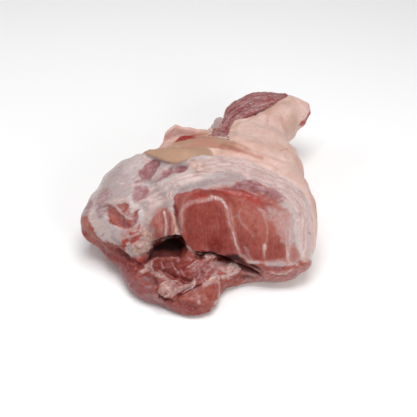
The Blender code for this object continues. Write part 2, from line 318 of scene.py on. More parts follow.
def wander(size, seed):
    """A soft random value on every corner, about -1 to 1, with lumps of about that size."""
    shift = Vector((seed, 0, 0))
    return np.array([noise.noise(Vector(place) / size + shift) for place in leg_places]) * NOISE_TO_ONE


wobble = np.stack([wander(0.009, seed) + wander(0.004, seed + 2) * 0.6 for seed in (3.0, 7.0)], axis=1)


def from_line(points, start, end):
    """How far each point is from the straight line between start and end."""
    along = end - start
    offset = points - start
    share = np.clip(offset @ along / (along @ along), 0, 1)
    return np.linalg.norm(offset - share[:, None] * along, axis=1)


def inside(outline, ragged=1.0):
    """Pixels from each corner to the outline, positive inside it."""
    points = leg_pixels + wobble * ragged
    outline = np.array(outline, dtype=float)
    nearest = np.full(len(points), np.inf)
    within = np.zeros(len(points), dtype=bool)
    for start, end in zip(outline, np.roll(outline, -1, axis=0)):
        nearest = np.minimum(nearest, from_line(points, start, end))
        crosses = (start[1] > points[:, 1]) != (end[1] > points[:, 1])
        run, fall = end - start
        within ^= crosses & (points[:, 0] < start[0] + run * (points[:, 1] - start[1]) / (fall or 1e-9))
    return np.where(within, nearest, -nearest)


def near(path, ragged=0.5):
    """Pixels from each corner to the open path."""
    points = leg_pixels + wobble * ragged
    path = np.array(path, dtype=float)
    return np.minimum.reduce([from_line(points, start, end) for start, end in zip(path, path[1:])])


height = np.zeros(len(leg_places))
# The last cover, shade, darkens what lies under it towards near black: mostly painted shade, in a few
# places only a darker tone.
TISSUES = (
    "rind", "tan", "blush", "bare", "deep", "warm", "film", "mauve", "grey", "fat", "cream", "blood",
    "torn", "shade",
)
paint = {tissue: np.zeros(len(leg_places)) for tissue in TISSUES}


def at_least(tissue, values):
    """Brings the tissue's cover up to these values where it is less."""
    paint[tissue] = np.maximum(paint[tissue], values)


def lay(tissue, outlines, soft=1.5, strength=1.0, ragged=1.0, wider=0.0):
    """Covers the inside of each outline with the tissue, soft for so many pixels at its edge."""
    for outline in outlines:
        at_least(tissue, step_up(inside(outline, ragged) + wider, -soft, soft) * strength)


def draw(tissue, paths, half_width=1.2, strength=1.0, ragged=0.5):
    """Draws a soft line of the tissue along each path."""
    for path in paths:
        away = step_up(near(path, ragged), half_width * 0.3, half_width)
        at_least(tissue, (1 - away) * strength)


def sink(outlines, depth, soft=2.0, ragged=1.0):
    """Lowers the surface inside each outline. A depth below zero raises it."""
    for outline in outlines:
        height[:] -= step_up(inside(outline, ragged), -soft, soft) * depth


def groove(paths, half_width, depth, ragged=0.5):
    """Cuts a soft groove along each path. A depth below zero makes a ridge."""
    for path in paths:
        height[:] -= (1 - step_up(near(path, ragged), 0, half_width)) * depth


def cover_all(way, rows):
    """Lays or draws every row: a tissue, the values after the outlines, and the outlines."""
    for tissue, how, *outlines in rows:
        way(tissue, outlines, *how)


def carve_all(way, rows):
    """Sinks or grooves every row: the values after the outlines, and the outlines."""
    for how, *outlines in rows:
        way(outlines, *how)


# ---------------------------------------------------------------------------------------------
# The lean face: two muscles cut across, with a white seam between them, and a darker red low
# in the inner one. Its film of silverskin thins out towards the right.
LEAN_FACE = (
    (175, 201), (174, 198), (177, 195), (181, 193.5), (188, 191), (198, 189), (210, 187.5), (222, 186),
    (232, 186), (240, 187), (248, 190), (256, 192), (264, 196), (272, 199), (280, 202), (286, 207),
    (290, 213), (291, 222), (289, 232), (289, 246), (286, 257), (280, 261), (268, 262.5), (258, 262),
    (251, 262), (247, 260), (242, 258.5), (236, 255.5), (226, 256.5), (219, 255.5), (214, 253),
    (205, 252.5), (198, 252.5), (192, 251), (188, 247), (183, 242), (180, 238), (178, 230), (177, 222),
    (175, 212),
)
LEFT_LEAN = LEAN_FACE[:14] + ((266, 206), (264, 225), (266, 245), (266, 263)) + LEAN_FACE[28:]
RIGHT_LEAN = (
    (256, 192), (266, 198), (276, 203), (286, 208), (290, 214), (289, 222), (287, 232), (288, 246),
    (288, 258), (280, 262), (260, 263), (252, 240),
)
INNER_MUSCLE = (
    (182, 214), (185, 207.5), (190, 204.5), (196, 203), (204, 202.5), (212, 202), (219, 204),
    (224, 207), (227, 212), (229, 222), (231, 232), (234, 241), (236, 250), (230, 255), (214, 253),
    (204, 252), (196, 251), (190, 247), (185, 240), (182, 230), (181, 220),
)
# Darker red low in the inner muscle, darkest in the middle.
DARKER_LOW = {
    "wide": ((198, 254), (196, 246), (200, 236), (206, 226), (222, 224), (229, 234), (233, 246),
             (232, 257)),
    "near": ((204, 253), (203, 243), (207, 234), (218, 232), (227, 238), (230, 250), (222, 256)),
    "middle": ((208, 251), (208, 243), (214, 237), (222, 239), (226, 247), (220, 253)),
}
lay("bare", [LEFT_LEAN], 2.2)
RIGHT_VEIL = (
    (264, 206), (276, 206), (290, 210), (295, 222), (293, 240), (290, 250), (284, 246), (278, 236),
    (270, 222),
)
LOWER_RIGHT = ((280, 240), (290, 242), (298, 246), (302, 254), (299, 263), (286, 266), (276, 262))
lay("bare", [RIGHT_LEAN], 8.0, 0.95)
lay("bare", [LOWER_RIGHT], 5.0, 0.7)
lay("warm", [LOWER_RIGHT], 4.0, 0.8)
lay("film", [RIGHT_VEIL], 6.0, 0.70)
lay("warm", [RIGHT_VEIL], 6.0, 0.6)
lay("deep", [INNER_MUSCLE], 3.0, 0.43)
lay("deep", [DARKER_LOW["wide"]], 7.0, 0.35)
lay("deep", [DARKER_LOW["near"]], 5.0, 0.6)
lay("deep", [DARKER_LOW["middle"]], 4.0, 1.0)
FACE_DARKS = {
    "top_edge": ((199, 190.5), (215, 188), (238, 187), (250, 191), (240, 192.5), (215, 191.5)),
    "by_seam": ((232, 240), (238, 236), (248, 244), (256, 252), (262, 262), (250, 262), (240, 256)),
    "right": ((268, 260), (268, 242), (276, 236), (285, 244), (285, 256), (276, 261)),
    "left_strip": ((175, 200), (183, 196), (182, 206), (180, 214), (181, 232), (178, 230), (176, 212)),
}
lay("deep", [FACE_DARKS["top_edge"]], 2.5, 0.4)
lay("deep", [FACE_DARKS["by_seam"], FACE_DARKS["right"]], 4.0, 0.4)
lay("deep", [FACE_DARKS["left_strip"]], 2.0, 0.45)
FACE_PATCHES = (
    ("mauve", (3.0, 0.4), ((232, 250), (242, 250), (252, 260), (244, 260), (236, 256))),
    ("deep", (3.0, 0.3),
     ((186, 199), (194, 192), (214, 190), (240, 189), (252, 193), (262, 200), (244, 197), (220, 195),
      (204, 197))),
    ("blood", (3.0, 0.7),
     ((190, 199.5), (194, 194), (206, 193), (209, 196), (200, 199)),
     ((214, 194), (222, 190), (240, 190), (250, 193), (262, 200), (268, 205), (256, 205), (244, 198),
      (228, 196))),
    ("deep", (3.0, 0.5), ((214, 194), (222, 190), (240, 190), (252, 194), (250, 197), (228, 196))),
    ("film", (4.0, 0.5), ((178, 200), (184, 195), (187, 199), (183, 206), (181, 212))),
    ("film", (3.5, 0.65), ((204, 187), (222, 182), (240, 182), (240, 188), (222, 188.5), (206, 190))),
    ("bare", (3.5, 1.0),
     ((230, 190), (237, 181), (254, 181), (272, 188), (289, 200), (276, 204), (258, 198))),
)
cover_all(lay, FACE_PATCHES)
lay("mauve", [FACE_DARKS["left_strip"]], 3.0, 0.4)
FACE_WARMS = {
    "band": ((188, 200), (191, 195), (200, 192), (214, 191), (228, 190), (242, 192), (254, 195),
             (266, 200), (262, 207), (250, 205), (238, 200), (228, 200), (221, 196.5), (212, 195.5),
             (200, 199)),
    "middle": ((232, 206), (244, 205), (258, 209), (276, 208), (288, 211), (288, 228), (280, 244),
               (262, 244), (246, 232), (234, 222)),
    "right": ((278, 236), (286, 236), (286, 256), (279, 258)),
}
lay("warm", [FACE_WARMS["band"]], 3.0, 0.30)
lay("warm", [FACE_WARMS["middle"]], 3.0, 0.65)
lay("warm", [FACE_WARMS["right"]], 2.5, 0.9)
VEIL = (
    (266, 211), (274, 206), (286, 208), (294, 214), (293, 226), (291, 246), (286, 246), (284, 234),
    (280, 226), (272, 218),
)
TOP_VEIL = (
    (236, 184), (242, 180), (252, 181), (264, 186), (278, 193), (290, 204), (284, 205), (272, 201),
    (260, 196), (248, 191),
)
lay("film", [VEIL], 4.0, 0.5)
lay("film", [TOP_VEIL], 3.5, 0.65)
MAGENTA = (
    ((238, 185), (243, 181), (250, 180.5), (257, 184), (262, 190), (256, 191.5), (247, 189)),
    ((263, 190), (270, 188.5), (278, 192), (281, 196), (272, 196.5)),
    ((231, 187.5), (234, 185.5), (242, 186), (240, 188.5)),
)
lay("mauve", MAGENTA, 4.0, 0.95, 1.0, 1.5)
lay("blood", MAGENTA, 4.0, 0.3)
lay("shade", MAGENTA, 4.0, 0.08)
SEAM = (
    (211.5, 196), (216, 197.5), (221, 199.5), (225, 203), (228, 208.5), (228.5, 214), (230, 220),
    (231.5, 226), (233.5, 232), (235, 238), (236.5, 244), (238.5, 250), (241, 256),
)
LEFT_SEAM = (
    (181, 232), (180.5, 222), (181, 214), (184, 207.5), (189, 203.5), (196, 201), (205, 199.5),
    (212, 197.5),
)
draw("film", [SEAM], 3.4, 0.6)
draw("film", [LEFT_SEAM], 4.5, 0.6)
draw("fat", [SEAM[:5]], 2.0, 0.85, 0.2)
draw("fat", [SEAM[8:12]], 1.8, 0.7, 0.2)
FACE_LINES = (
    ("film", (2.6, 0.6),
     ((240, 256), (244, 256), (250, 261)),
     ((246, 248), (249, 256), (254, 262))),
    ("fat", (1.6, 0.6), ((284, 224), (286, 236), (286.5, 248), (287, 260))),
    # Painted shade as darker red along the crevice at the left edge of the face.
    ("deep", (3.0, 0.9), ((174.5, 203), (176, 212), (178, 226), (180, 238))),
)
cover_all(draw, FACE_LINES)
FACE_STREAKS = {
    "web": ((238, 213), (239.5, 219), (242, 224), (247, 229), (251, 232), (253, 237)),
    "web_side": ((233, 218), (237, 215), (241, 209)),
    "middle": ((262, 211), (264, 218), (266, 225), (267, 232), (266.5, 239), (265.5, 244)),
    "low": ((244, 247), (247, 254), (252, 260)),
}
FACE_FAINT = {
    "fan": ((270, 212), (278, 218), (288, 224)),
    "right": ((275, 216), (280, 224), (282, 232), (281, 242)),
    "edge": ((290.5, 230), (290, 240), (289, 250), (288, 261)),
    "tip": ((256, 207), (264, 212), (270, 220)),
}
draw("film", FACE_STREAKS.values(), 2.4, 0.6)
draw("film", FACE_FAINT.values(), 3.0, 0.6)
draw("fat", [FACE_FAINT["edge"]], 1.6, 0.6)
WHITE_POINT = (
    (262.6, 244.5), (265.6, 243.5), (266.8, 247), (265.6, 253), (264.9, 262), (263.9, 262),
    (263.4, 254), (262, 248),
)
lay("fat", [WHITE_POINT], 1.2, 0.8, 0.2)
lay("cream", [WHITE_POINT], 1.2, 0.35, 0.2)
sink([LEAN_FACE], 0.0010, 2.0)
sink([INNER_MUSCLE], -0.0010, 3.0)
groove([SEAM], 3.0, 0.0007)
groove([SEAM], 1.6, -0.0009, 0.2)
groove([LEFT_SEAM], 3.0, 0.0006)
LEAN_CREVICE = ((174.5, 206), (176, 212), (177, 219), (178, 226), (178.8, 233))
groove([LEAN_CREVICE], 2.4, 0.0026, 0.3)
draw("shade", [LEAN_CREVICE], 1.3, 0.45, 0.3)
groove(FACE_STREAKS.values(), 2.0, -0.0003)
sink([WHITE_POINT], -0.0008, 1.0, 0.2)

# ---------------------------------------------------------------------------------------------
# The band above the lean face: silverskin and fat that sweep round it from left to right in
# long soft folds. It is pinkish fat with blushes of red, and grey where it meets the face.
GREY_BAND = (
    (174, 192), (180, 187), (190, 183), (200, 182), (206, 176), (214, 172.5), (228, 171), (240, 172),
    (246, 176), (249, 181), (240, 182), (226, 184), (210, 186), (196, 188), (184, 191),
)
FAT_BAND = (
    (176, 184), (180, 177), (188, 172), (198, 168), (206, 158), (214, 155), (232, 156), (249, 160),
    (264, 166), (279, 173), (292, 182), (303, 192), (309, 206), (312, 222), (312, 236), (311, 250),
    (308, 262), (304, 264), (301, 258), (299, 248), (297, 236), (296, 218), (291, 206), (281, 198),
    (270, 190), (258, 183), (250, 177), (242, 171), (230, 169), (216, 170.5), (206, 175), (198, 181),
    (186, 183),
)
lay("grey", [GREY_BAND], 3.0, 1.0)
lay("mauve", [GREY_BAND], 4.0, 0.34)
lay("bare", [GREY_BAND], 4.0, 0.16)
lay("fat", [FAT_BAND], 5.0, 0.8)
BAND_PATCHES = (
    ("fat", (3.0, 0.6),
     ((164, 186), (170, 178), (180, 172), (190, 171), (198, 176), (196, 181), (184, 184), (172, 186))),
    ("mauve", (3.0, 0.3),
     ((291.5, 233), (295, 232), (297.5, 240), (297, 250), (293, 250), (292, 240)),
     ((284, 228), (287, 228), (286, 238), (283, 236)),
     ((296, 190), (303, 189), (309, 198), (305, 200), (300, 196))),
    ("grey", (3.0, 0.9), ((297, 190), (304, 188), (310, 197), (306, 201), (300, 197))),
    ("mauve", (3.0, 0.25),
     ((262, 198), (276, 202), (290, 208), (296, 218), (290, 214), (278, 206), (266, 202))),
    ("film", (3.0, 0.45), ((289, 246), (296, 244), (302, 250), (302, 262), (292, 265))),
)
cover_all(lay, BAND_PATCHES)
BAND_LINES = {
    "upper": ((206, 158), (225, 160), (245, 164), (262, 170), (276, 178), (290, 188)),
    "middle": ((212, 164), (230, 165), (248, 170), (262, 177), (280, 188), (296, 199)),
    "lower": ((200, 173), (214, 170.5), (228, 170), (240, 172), (248, 178), (256, 184)),
    "outer": ((250, 160), (268, 168), (284, 179), (298, 192), (306, 206), (309, 224), (308, 244)),
    "first": ((222, 157.5), (244, 160.5), (262, 166), (280, 176), (296, 188)),
}
BLUSH_LINES = {
    "inner": ((218, 171.5), (232, 170.5), (242, 173.5), (250, 180), (258, 185)),
    "outer": ((240, 167), (256, 172), (272, 182), (288, 193)),
    "fold": ((228, 162), (246, 166), (262, 172), (276, 180)),
}
draw("fat", [BAND_LINES["lower"]], 1.8, 1.0)
draw("blush", BLUSH_LINES.values(), 1.8, 0.4)
draw("mauve", BLUSH_LINES.values(), 2.4, 0.32)
groove(BAND_LINES.values(), 2.2, 0.0007, 0.8)

RIDGE_LUMP = (
    (187, 164), (191, 160), (199, 159.5), (204, 162), (207, 168), (203, 171.5), (195, 171), (189, 169),
)
lay("fat", [RIDGE_LUMP], 3.5, 0.95)
lay("cream", [RIDGE_LUMP], 2.5, 0.35)
RIDGE_MARKS = (
    ("blush", (1.6, 0.6),
     ((188, 168), (190, 162), (197, 159.5), (204, 161)),
     ((194, 171), (199, 168), (206, 169))),
    ("blood", (1.1, 0.45),
     ((188, 167), (190, 161.5), (195, 159.5)),
     ((203, 160.5), (206, 164))),
)
cover_all(draw, RIDGE_MARKS)
sink([RIDGE_LUMP], -0.0014, 4.0)

# ---------------------------------------------------------------------------------------------
# The left lobe: silverskin drawn tight over darker muscle, which shows through it in mauve
# patches, and cut through to the red in one place.
MAUVE_PATCHES = {
    "large": ((139.5, 176), (140, 172), (144, 167.5), (147, 164), (151, 161), (155, 160), (160, 162),
              (157, 169), (153, 174.5), (149, 177), (143, 178.5)),
    "small": ((162, 175.5), (163, 172), (168, 170.5), (171, 169.5), (170, 174), (166, 176)),
    "by_lip": ((176, 169), (180, 166.5), (185, 167), (185.5, 170), (180, 171.5), (176, 170.5)),
}
MAUVE_VEILS = (
    ((151, 183), (153, 177), (160, 172), (168, 168.5), (176, 165.5), (184, 164), (187, 168), (176, 173),
     (168, 177), (160, 182)),
    ((94, 210), (97, 202), (104, 200), (110, 204), (108, 214), (102, 219), (96, 217)),
    ((94, 200), (100, 190), (110, 184), (113, 194), (108, 203), (98, 206)),
    ((83, 216), (86, 204), (92, 195), (94, 202), (90, 212), (87, 219)),
    ((130, 200), (132, 191), (138, 187), (146, 189), (150, 194), (144, 199), (136, 201)),
    ((150, 194), (154, 189), (160, 186), (167, 184), (165, 187.5), (158, 191.5), (154, 195)),
    ((147, 220), (149, 214), (153, 210), (158, 207), (156, 211), (152, 216), (150, 222)),
    ((154, 176), (150, 181), (142, 183), (134, 183), (132, 178), (140, 179.5)),
)
MIDDLE_PATCH = ((131, 200), (134, 192), (139, 187), (147, 187), (149, 192), (144, 197.5), (137, 200))
lay("mauve", MAUVE_PATCHES.values(), 1.8, 1.0, 1.0, 1.2)
lay("mauve", [MIDDLE_PATCH], 4.5, 0.95, 1.0, 1.0)
sink([MIDDLE_PATCH], 0.0010, 4.0)
lay("mauve", MAUVE_VEILS, 3.5, 0.5)
lay("grey", MAUVE_VEILS, 3.5, 0.6)
TOP_PATCH = ((121, 176), (123, 172.5), (128, 173), (128.5, 178), (123, 179))
LOBE_PATCHES = (
    ("grey", (3.5, 0.75),
     TOP_PATCH,
     ((98, 200), (102, 184), (112, 172), (124, 168), (130, 178), (134, 192), (128, 202), (112, 204)),
     ((156, 206), (164, 196), (172, 190), (178, 188), (176, 196), (170, 203), (163, 209))),
    ("mauve", (2.0, 0.3), TOP_PATCH),
    ("mauve", (6.0, 0.22), ((104, 186), (118, 184), (131, 190), (129, 201), (112, 203), (102, 198))),
    ("fat", (3.5, 0.45),
     ((90, 216), (94, 226), (101, 234), (108, 237), (112, 232), (106, 226), (102, 218), (96, 214)),
     ((141, 230), (142, 214), (149, 206), (154, 209), (149, 220), (149, 232)),
     ((108, 238), (106, 232), (114, 231), (120, 236), (116, 240))),
    ("film", (3.0, 0.35),
     ((105, 205), (112, 201), (130, 201), (139, 206), (139, 222), (137, 231), (120, 231), (108, 224))),
    ("mauve", (1.8, 0.55), ((118, 222), (126, 220), (133, 223), (132, 228), (120, 228))),
    ("warm", (2.5, 0.5), ((108, 206), (116, 208), (121, 215), (120, 221), (112, 222), (109, 216))),
    ("blood", (2.0, 0.35), ((109, 206), (115, 208.5), (120, 215), (118, 221), (111, 218))),
)
cover_all(lay, LOBE_PATCHES)
LOBE_LINES = (
    ("mauve", (1.3, 0.7),
     ((136, 182), (141, 181), (146, 180), (151, 178)),
     ((134, 188), (140, 187), (146, 186)),
     ((140, 178), (148, 176.5), (154, 173))),
    ("fat", (4.5, 0.7), ((140, 153), (145, 157), (148, 161))),
    ("fat", (2.2, 0.8), ((115, 206), (120, 211), (125, 216.5), (131, 219.5))),
    ("deep", (1.8, 0.8, 1.5),
     ((120, 220), (126, 224), (131, 226), (134, 222)),
     ((109, 214), (111, 222), (116, 227))),
)
cover_all(draw, LOBE_LINES)
WHITE_LINES = {
    "over_band": ((150, 201), (158, 195), (168, 188), (178, 184)),
    "under_veil": ((138, 202), (150, 198), (158, 193), (166, 189)),
    "by_bulge": ((144, 224), (146, 214), (152, 206), (160, 200)),
    "left": ((92, 222), (91, 210), (94, 200)),
    "over_cut": ((130, 200), (118, 199.5), (106, 203)),
    "by_large": ((152, 180), (160, 173), (168, 166.5), (176, 163)),
    "low": ((95, 231), (101, 227), (106, 230)),
    "strand": ((160, 204), (166, 198), (174, 192)),
    "fold": ((148, 191), (156, 187), (166, 183), (178, 180)),
    "fan_1": ((151, 203), (160, 199), (170, 194), (176, 190)),
    "fan_2": ((157, 205), (164, 201), (172, 197)),
    "arc_1": ((147, 214), (150, 207), (155, 202)),
    "arc_2": ((149, 222), (151, 213), (157, 206)),
    "cut_top": ((111, 203), (118, 201.5), (126, 201.5), (131, 204)),
    "tip": ((140, 154), (146, 158), (150, 163)),
    "across": ((118, 182), (128, 186), (134, 184), (144, 184)),
    "down": ((104, 190), (103, 198), (98, 204)),
}
draw("fat", WHITE_LINES.values(), 2.4, 0.75)
RED_CUT = (
    (107.5, 205), (111, 205), (115, 208), (120, 213), (124, 218), (130, 220.5), (134.5, 224),
    (132, 228), (126, 229.5), (118, 228.5), (112, 225), (109, 219), (108, 212),
)
RED_CUT_TOP = (
    (116, 204.5), (123, 203), (128, 204.5), (129.5, 209), (127, 213.5), (122, 212), (118.5, 208.5),
)
RED_WEDGE = ((138.5, 208), (135, 211.5), (132.5, 216.5), (131.5, 222), (135, 223.5), (137, 218))
CUT_WHOLE = (
    (108, 204.5), (118, 203), (129, 203), (132, 208), (134, 218), (135, 224), (131, 229), (118, 229),
    (111, 224), (107.5, 214),
)
lay("bare", [CUT_WHOLE], 3.0, 0.6)
lay("mauve", [CUT_WHOLE], 3.0, 0.2)
lay("bare", [RED_CUT, RED_CUT_TOP], 2.2, 0.95, 1.6, 0.3)
lay("bare", [RED_WEDGE], 1.6, 0.9, 1.0, 0.5)
lay("mauve", [RED_WEDGE], 1.8, 0.55)
sink([RED_CUT], 0.0016, 2.0)
sink([RED_WEDGE], 0.0022, 1.4)
sink([RED_CUT_TOP], 0.0010, 1.2)
sink(MAUVE_PATCHES.values(), 0.0013, 2.5)
LOBE_GROOVES = (
    ((5.0, 0.0018), ((150, 184), (158, 177.5), (168, 172), (178, 168.5), (186, 168))),
    ((6.0, 0.0022), ((138, 203), (144, 212), (143, 224), (147, 232))),
)
carve_all(groove, LOBE_GROOVES)
groove([WHITE_LINES["under_veil"], WHITE_LINES["over_band"], WHITE_LINES["by_large"]], 3.0, -0.0010)

# ---------------------------------------------------------------------------------------------
# The left tip and the lower edge of the lobe, where the muscle is bare, and the crumbled fat
# and torn red bits above the hollow.
LEFT_EDGE = (
    (76, 226), (82, 217), (87, 215), (90, 221), (94, 228), (97, 234), (101, 239), (103, 242),
    (108, 241), (114, 244), (121, 246), (126, 252), (131, 257), (136, 258), (141, 256), (146, 253),
    (146, 260), (143, 267), (130, 268), (117, 270), (98, 258), (80, 238),
)
LOWER_MAUVE = (
    (101, 246), (106, 242), (114, 244), (120, 250), (128, 257), (132, 264), (112, 264), (100, 254),
)
lay("bare", [LEFT_EDGE], 4.0)
TIP_PATCHES = (
    ("warm", (2.0, 0.9), ((78, 226), (83, 218), (88, 216), (92, 224), (98, 236), (92, 242))),
    ("film", (2.5, 0.42), ((80, 224), (84, 218), (89, 217), (91, 226), (88, 231), (82, 229))),
    ("film", (3.0, 0.4), ((88, 228), (92, 232), (102, 244), (100, 250), (88, 238))),
    # Darker red along the fold above the flap's crease, partly painted shade.
    ("deep", (4.0, 0.8), ((120, 246), (128, 250), (138, 260), (130, 264))),
    ("mauve", (4.0, 0.4), ((92, 236), (100, 240), (106, 246), (100, 252), (94, 246))),
    ("blood", (1.0, 0.6), ((99, 236), (102, 234), (104.5, 235), (103, 237.5))),
    ("film", (3.0, 0.9),
     ((117, 229), (134, 227), (146, 224), (154, 228), (154, 238), (140, 240), (122, 236))),
    ("warm", (2.5, 0.8), ((138, 236), (140, 228), (146, 226), (149, 232), (147, 239), (141, 241))),
    ("bare", (3.0, 0.6),
     ((118, 236), (124, 229), (136, 227), (148, 228), (150, 236), (138, 238), (126, 240))),
    ("cream", (2.5, 0.9), ((138, 240), (141, 230), (148, 229), (153, 234), (152, 242), (144, 243))),
    ("fat", (2.0, 0.6), ((146, 240), (147, 232), (150, 230), (153, 235), (152, 242))),
    ("fat", (1.6, 0.9),
     ((132, 249), (138, 246), (146, 243), (151, 243), (148, 250), (140, 253), (134, 254))),
)
cover_all(lay, TIP_PATCHES)
lay("mauve", [LOWER_MAUVE], 3.0, 0.42)
lay("deep", [LOWER_MAUVE], 4.0, 0.8)
PINK_CRUMBLE = (
    (116, 240), (122, 234), (130, 230), (138, 226), (146, 226), (152, 230), (155, 238), (152, 243),
    (140, 245), (133, 248), (126, 246), (119, 245),
)
lay("film", [PINK_CRUMBLE], 3.0, 0.9)
lay("fat", [PINK_CRUMBLE], 3.0, 0.3)
FAT_CRUMBS = (
    (131, 254), (130.5, 248), (133, 245), (140, 242.5), (146, 241), (151, 241.5), (150.5, 247),
    (147, 251.5), (141, 254), (136, 256.5),
)
CRUMB_REDS = (
    ((117, 244), (121, 240), (127, 240), (129, 244), (126, 250), (121, 247)),
    ((127, 243), (130, 238), (136, 236), (141, 236), (138, 240), (132, 244)),
    ((129, 234), (133, 231), (139, 231), (136, 234), (131, 236)),
    ((136, 229), (138, 223), (141, 224), (141, 229), (138, 231)),
)
lay("film", [FAT_CRUMBS], 2.0, 0.6)
lay("fat", [FAT_CRUMBS], 1.6, 0.65)
lay("cream", [FAT_CRUMBS], 2.0, 0.45)
lay("bare", CRUMB_REDS, 1.6, 0.9, 2.0)
lay("blood", CRUMB_REDS, 1.8, 0.75, 2.0)
TIP_TEARS = (
    ((112, 238), (117, 242), (122, 243)),
    ((128, 244), (134, 240), (140, 238)),
    ((114, 243), (118, 238), (121, 237)),
)
draw("deep", TIP_TEARS, 1.6, 0.9, 2.0)
TIP_GROOVES = (
    ((4.0, 0.0012), ((82, 230), (92, 236), (102, 243), (112, 248), (122, 254), (132, 261))),
    ((2.4, 0.0022, 1.5), ((112, 239), (118, 243), (125, 247), (131, 251), (133, 257))),
    ((2.2, 0.0018, 1.5), ((126, 244), (133, 240), (141, 237))),
)
carve_all(groove, TIP_GROOVES)
sink([FAT_CRUMBS], -0.0026, 2.5)

# ---------------------------------------------------------------------------------------------
# The bulge above the hollow: red muscle round a white tendon, with yellowish fat at its right.
# It stands out between the lobe and the lean face, and dips to the tendon from both sides.
BULGE = (
    (148, 239), (147, 226), (151, 216), (157, 209), (163, 206), (168, 208), (173, 212), (176.5, 220),
    (178, 230), (176, 236), (168, 238.5), (158, 241),
)
BULGE_LEFT = (
    (152.5, 237), (152.5, 227), (155, 220), (159, 216), (163, 218), (163, 228), (161, 237), (157, 240),
)
BULGE_RIGHT = ((168, 236), (167.8, 224), (169.5, 215), (173, 219), (174, 230), (173, 236))
TENDON = ((164, 212), (165, 217), (166, 224), (166, 230), (165.5, 235))
lay("film", [BULGE], 4.0, 0.3)
lay("bare", [BULGE], 5.0, 0.75)
lay("bare", [BULGE_LEFT], 3.0, 1.0)
lay("bare", [BULGE_RIGHT], 2.0, 0.95)
lay("warm", [BULGE], 2.0, 0.7)
draw("fat", [TENDON], 2.2, 0.9, 0.2)
BULGE_LINES = (
    ("grey", (1.6, 0.8), ((166, 220), (166.8, 228), (166.3, 234))),
    ("blood", (1.2, 0.6), ((170, 207), (173, 212), (176.5, 220), (178, 228))),
    ("deep", (1.6, 0.8),
     ((160, 215), (163, 218), (164, 223)),
     ((168, 219), (170.5, 224), (170, 231)),
     ((154, 231), (157, 234), (161, 234))),
    ("film", (1.4, 0.6),
     ((156, 218), (160, 226), (161, 234)),
     ((169, 214), (172, 222), (173, 232)),
     ((152, 224), (154, 232), (156, 238))),
)
cover_all(draw, BULGE_LINES)
CREAM_EDGE = ((172, 212), (175, 219), (176.5, 227), (176, 233), (171, 236.5), (163, 239.5))
draw("cream", [CREAM_EDGE], 3.4, 0.9)
draw("fat", [CREAM_EDGE], 2.8, 0.85)
groove([TENDON], 2.0, -0.0016, 0.2)
BULGE_GROOVES = (
    ((161, 214), (163, 224), (163, 234)),
    ((169, 216), (169.5, 228), (169, 235)),
)
groove(BULGE_GROOVES, 1.8, 0.0014)
sink([BULGE_LEFT], -0.0012, 3.0)

# ---------------------------------------------------------------------------------------------
# The hollow that the bone came out of, and the gap between the lean face and the flap. Both are
# dark red inside, and painted shade makes them nearly black at the back.
HOLLOW = (
    (145, 264.5), (146, 259), (149, 255), (151, 250), (154, 245), (158, 243), (162, 242), (164, 240),
    (167, 237.5), (170, 237.5), (175, 239), (180, 241), (184, 244), (182, 248), (181.5, 253),
    (181, 259), (176, 256.5), (160, 257.5), (152, 257.5), (149, 260),
)
HOLLOW_FLOOR = (
    (152, 257), (154, 252), (162, 250.5), (172, 251.5), (182, 250), (182, 257), (172, 256.5),
    (160, 257.5),
)
lay("bare", [HOLLOW], 1.5, 1.0, 1.0, 3.0)
lay("deep", [HOLLOW], 2.0, 1.0, 1.0, 1.0)
# Painted shade fills the hollow nearly to black; less of it lies on its floor.
lay("shade", [HOLLOW], 1.5, 0.97, 0.5)
paint["shade"] -= step_up(inside(HOLLOW_FLOOR), -2.0, 2.0) * 0.4
GAP = (
    (219, 257), (225, 258), (229, 255.5), (237, 256), (243, 260), (247, 263.5), (250, 265), (249, 269),
    (243, 268), (240, 263), (234, 260.5), (226, 260.5), (220, 259.5),
)
GAP_BACK = ((227, 257.5), (230, 255.5), (237, 256), (241, 258.5), (243, 261.5), (237, 260), (231, 259))
GAP_TOP = ((222, 257), (228, 254.5), (238, 254.8), (245, 259.5), (243, 261.5), (236, 259.5), (228, 259))
GAP_WEDGE = ((250, 264), (253, 264.5), (258, 268), (263, 271), (256, 269.5), (251, 267))
GAP_LINES = {
    "over_knob": ((200, 255), (203, 252.5), (210, 252.5), (214.5, 253.5), (217, 256.5), (221, 258)),
    "by_knob": ((195.5, 256), (198, 258), (202, 257.5)),
}
lay("bare", [GAP], 1.5, 1.0, 1.0, 2.0)
lay("deep", [GAP], 1.5, 1.0, 1.0, 1.5)
# Painted shade in the gap, darkest at its back, its top and its wedge, and along the lines by the knob.
lay("shade", [GAP], 2.0, 0.80, 0.8)
lay("deep", [GAP_TOP], 1.2, 1.0, 0.5)
lay("shade", [GAP_BACK, GAP_WEDGE, GAP_TOP], 1.2, 0.90, 0.5)
draw("deep", GAP_LINES.values(), 2.6, 0.9)
draw("shade", GAP_LINES.values(), 1.5, 0.75)
groove(GAP_LINES.values(), 1.8, 0.0022)
sink([GAP_WEDGE], 0.0030, 1.0)

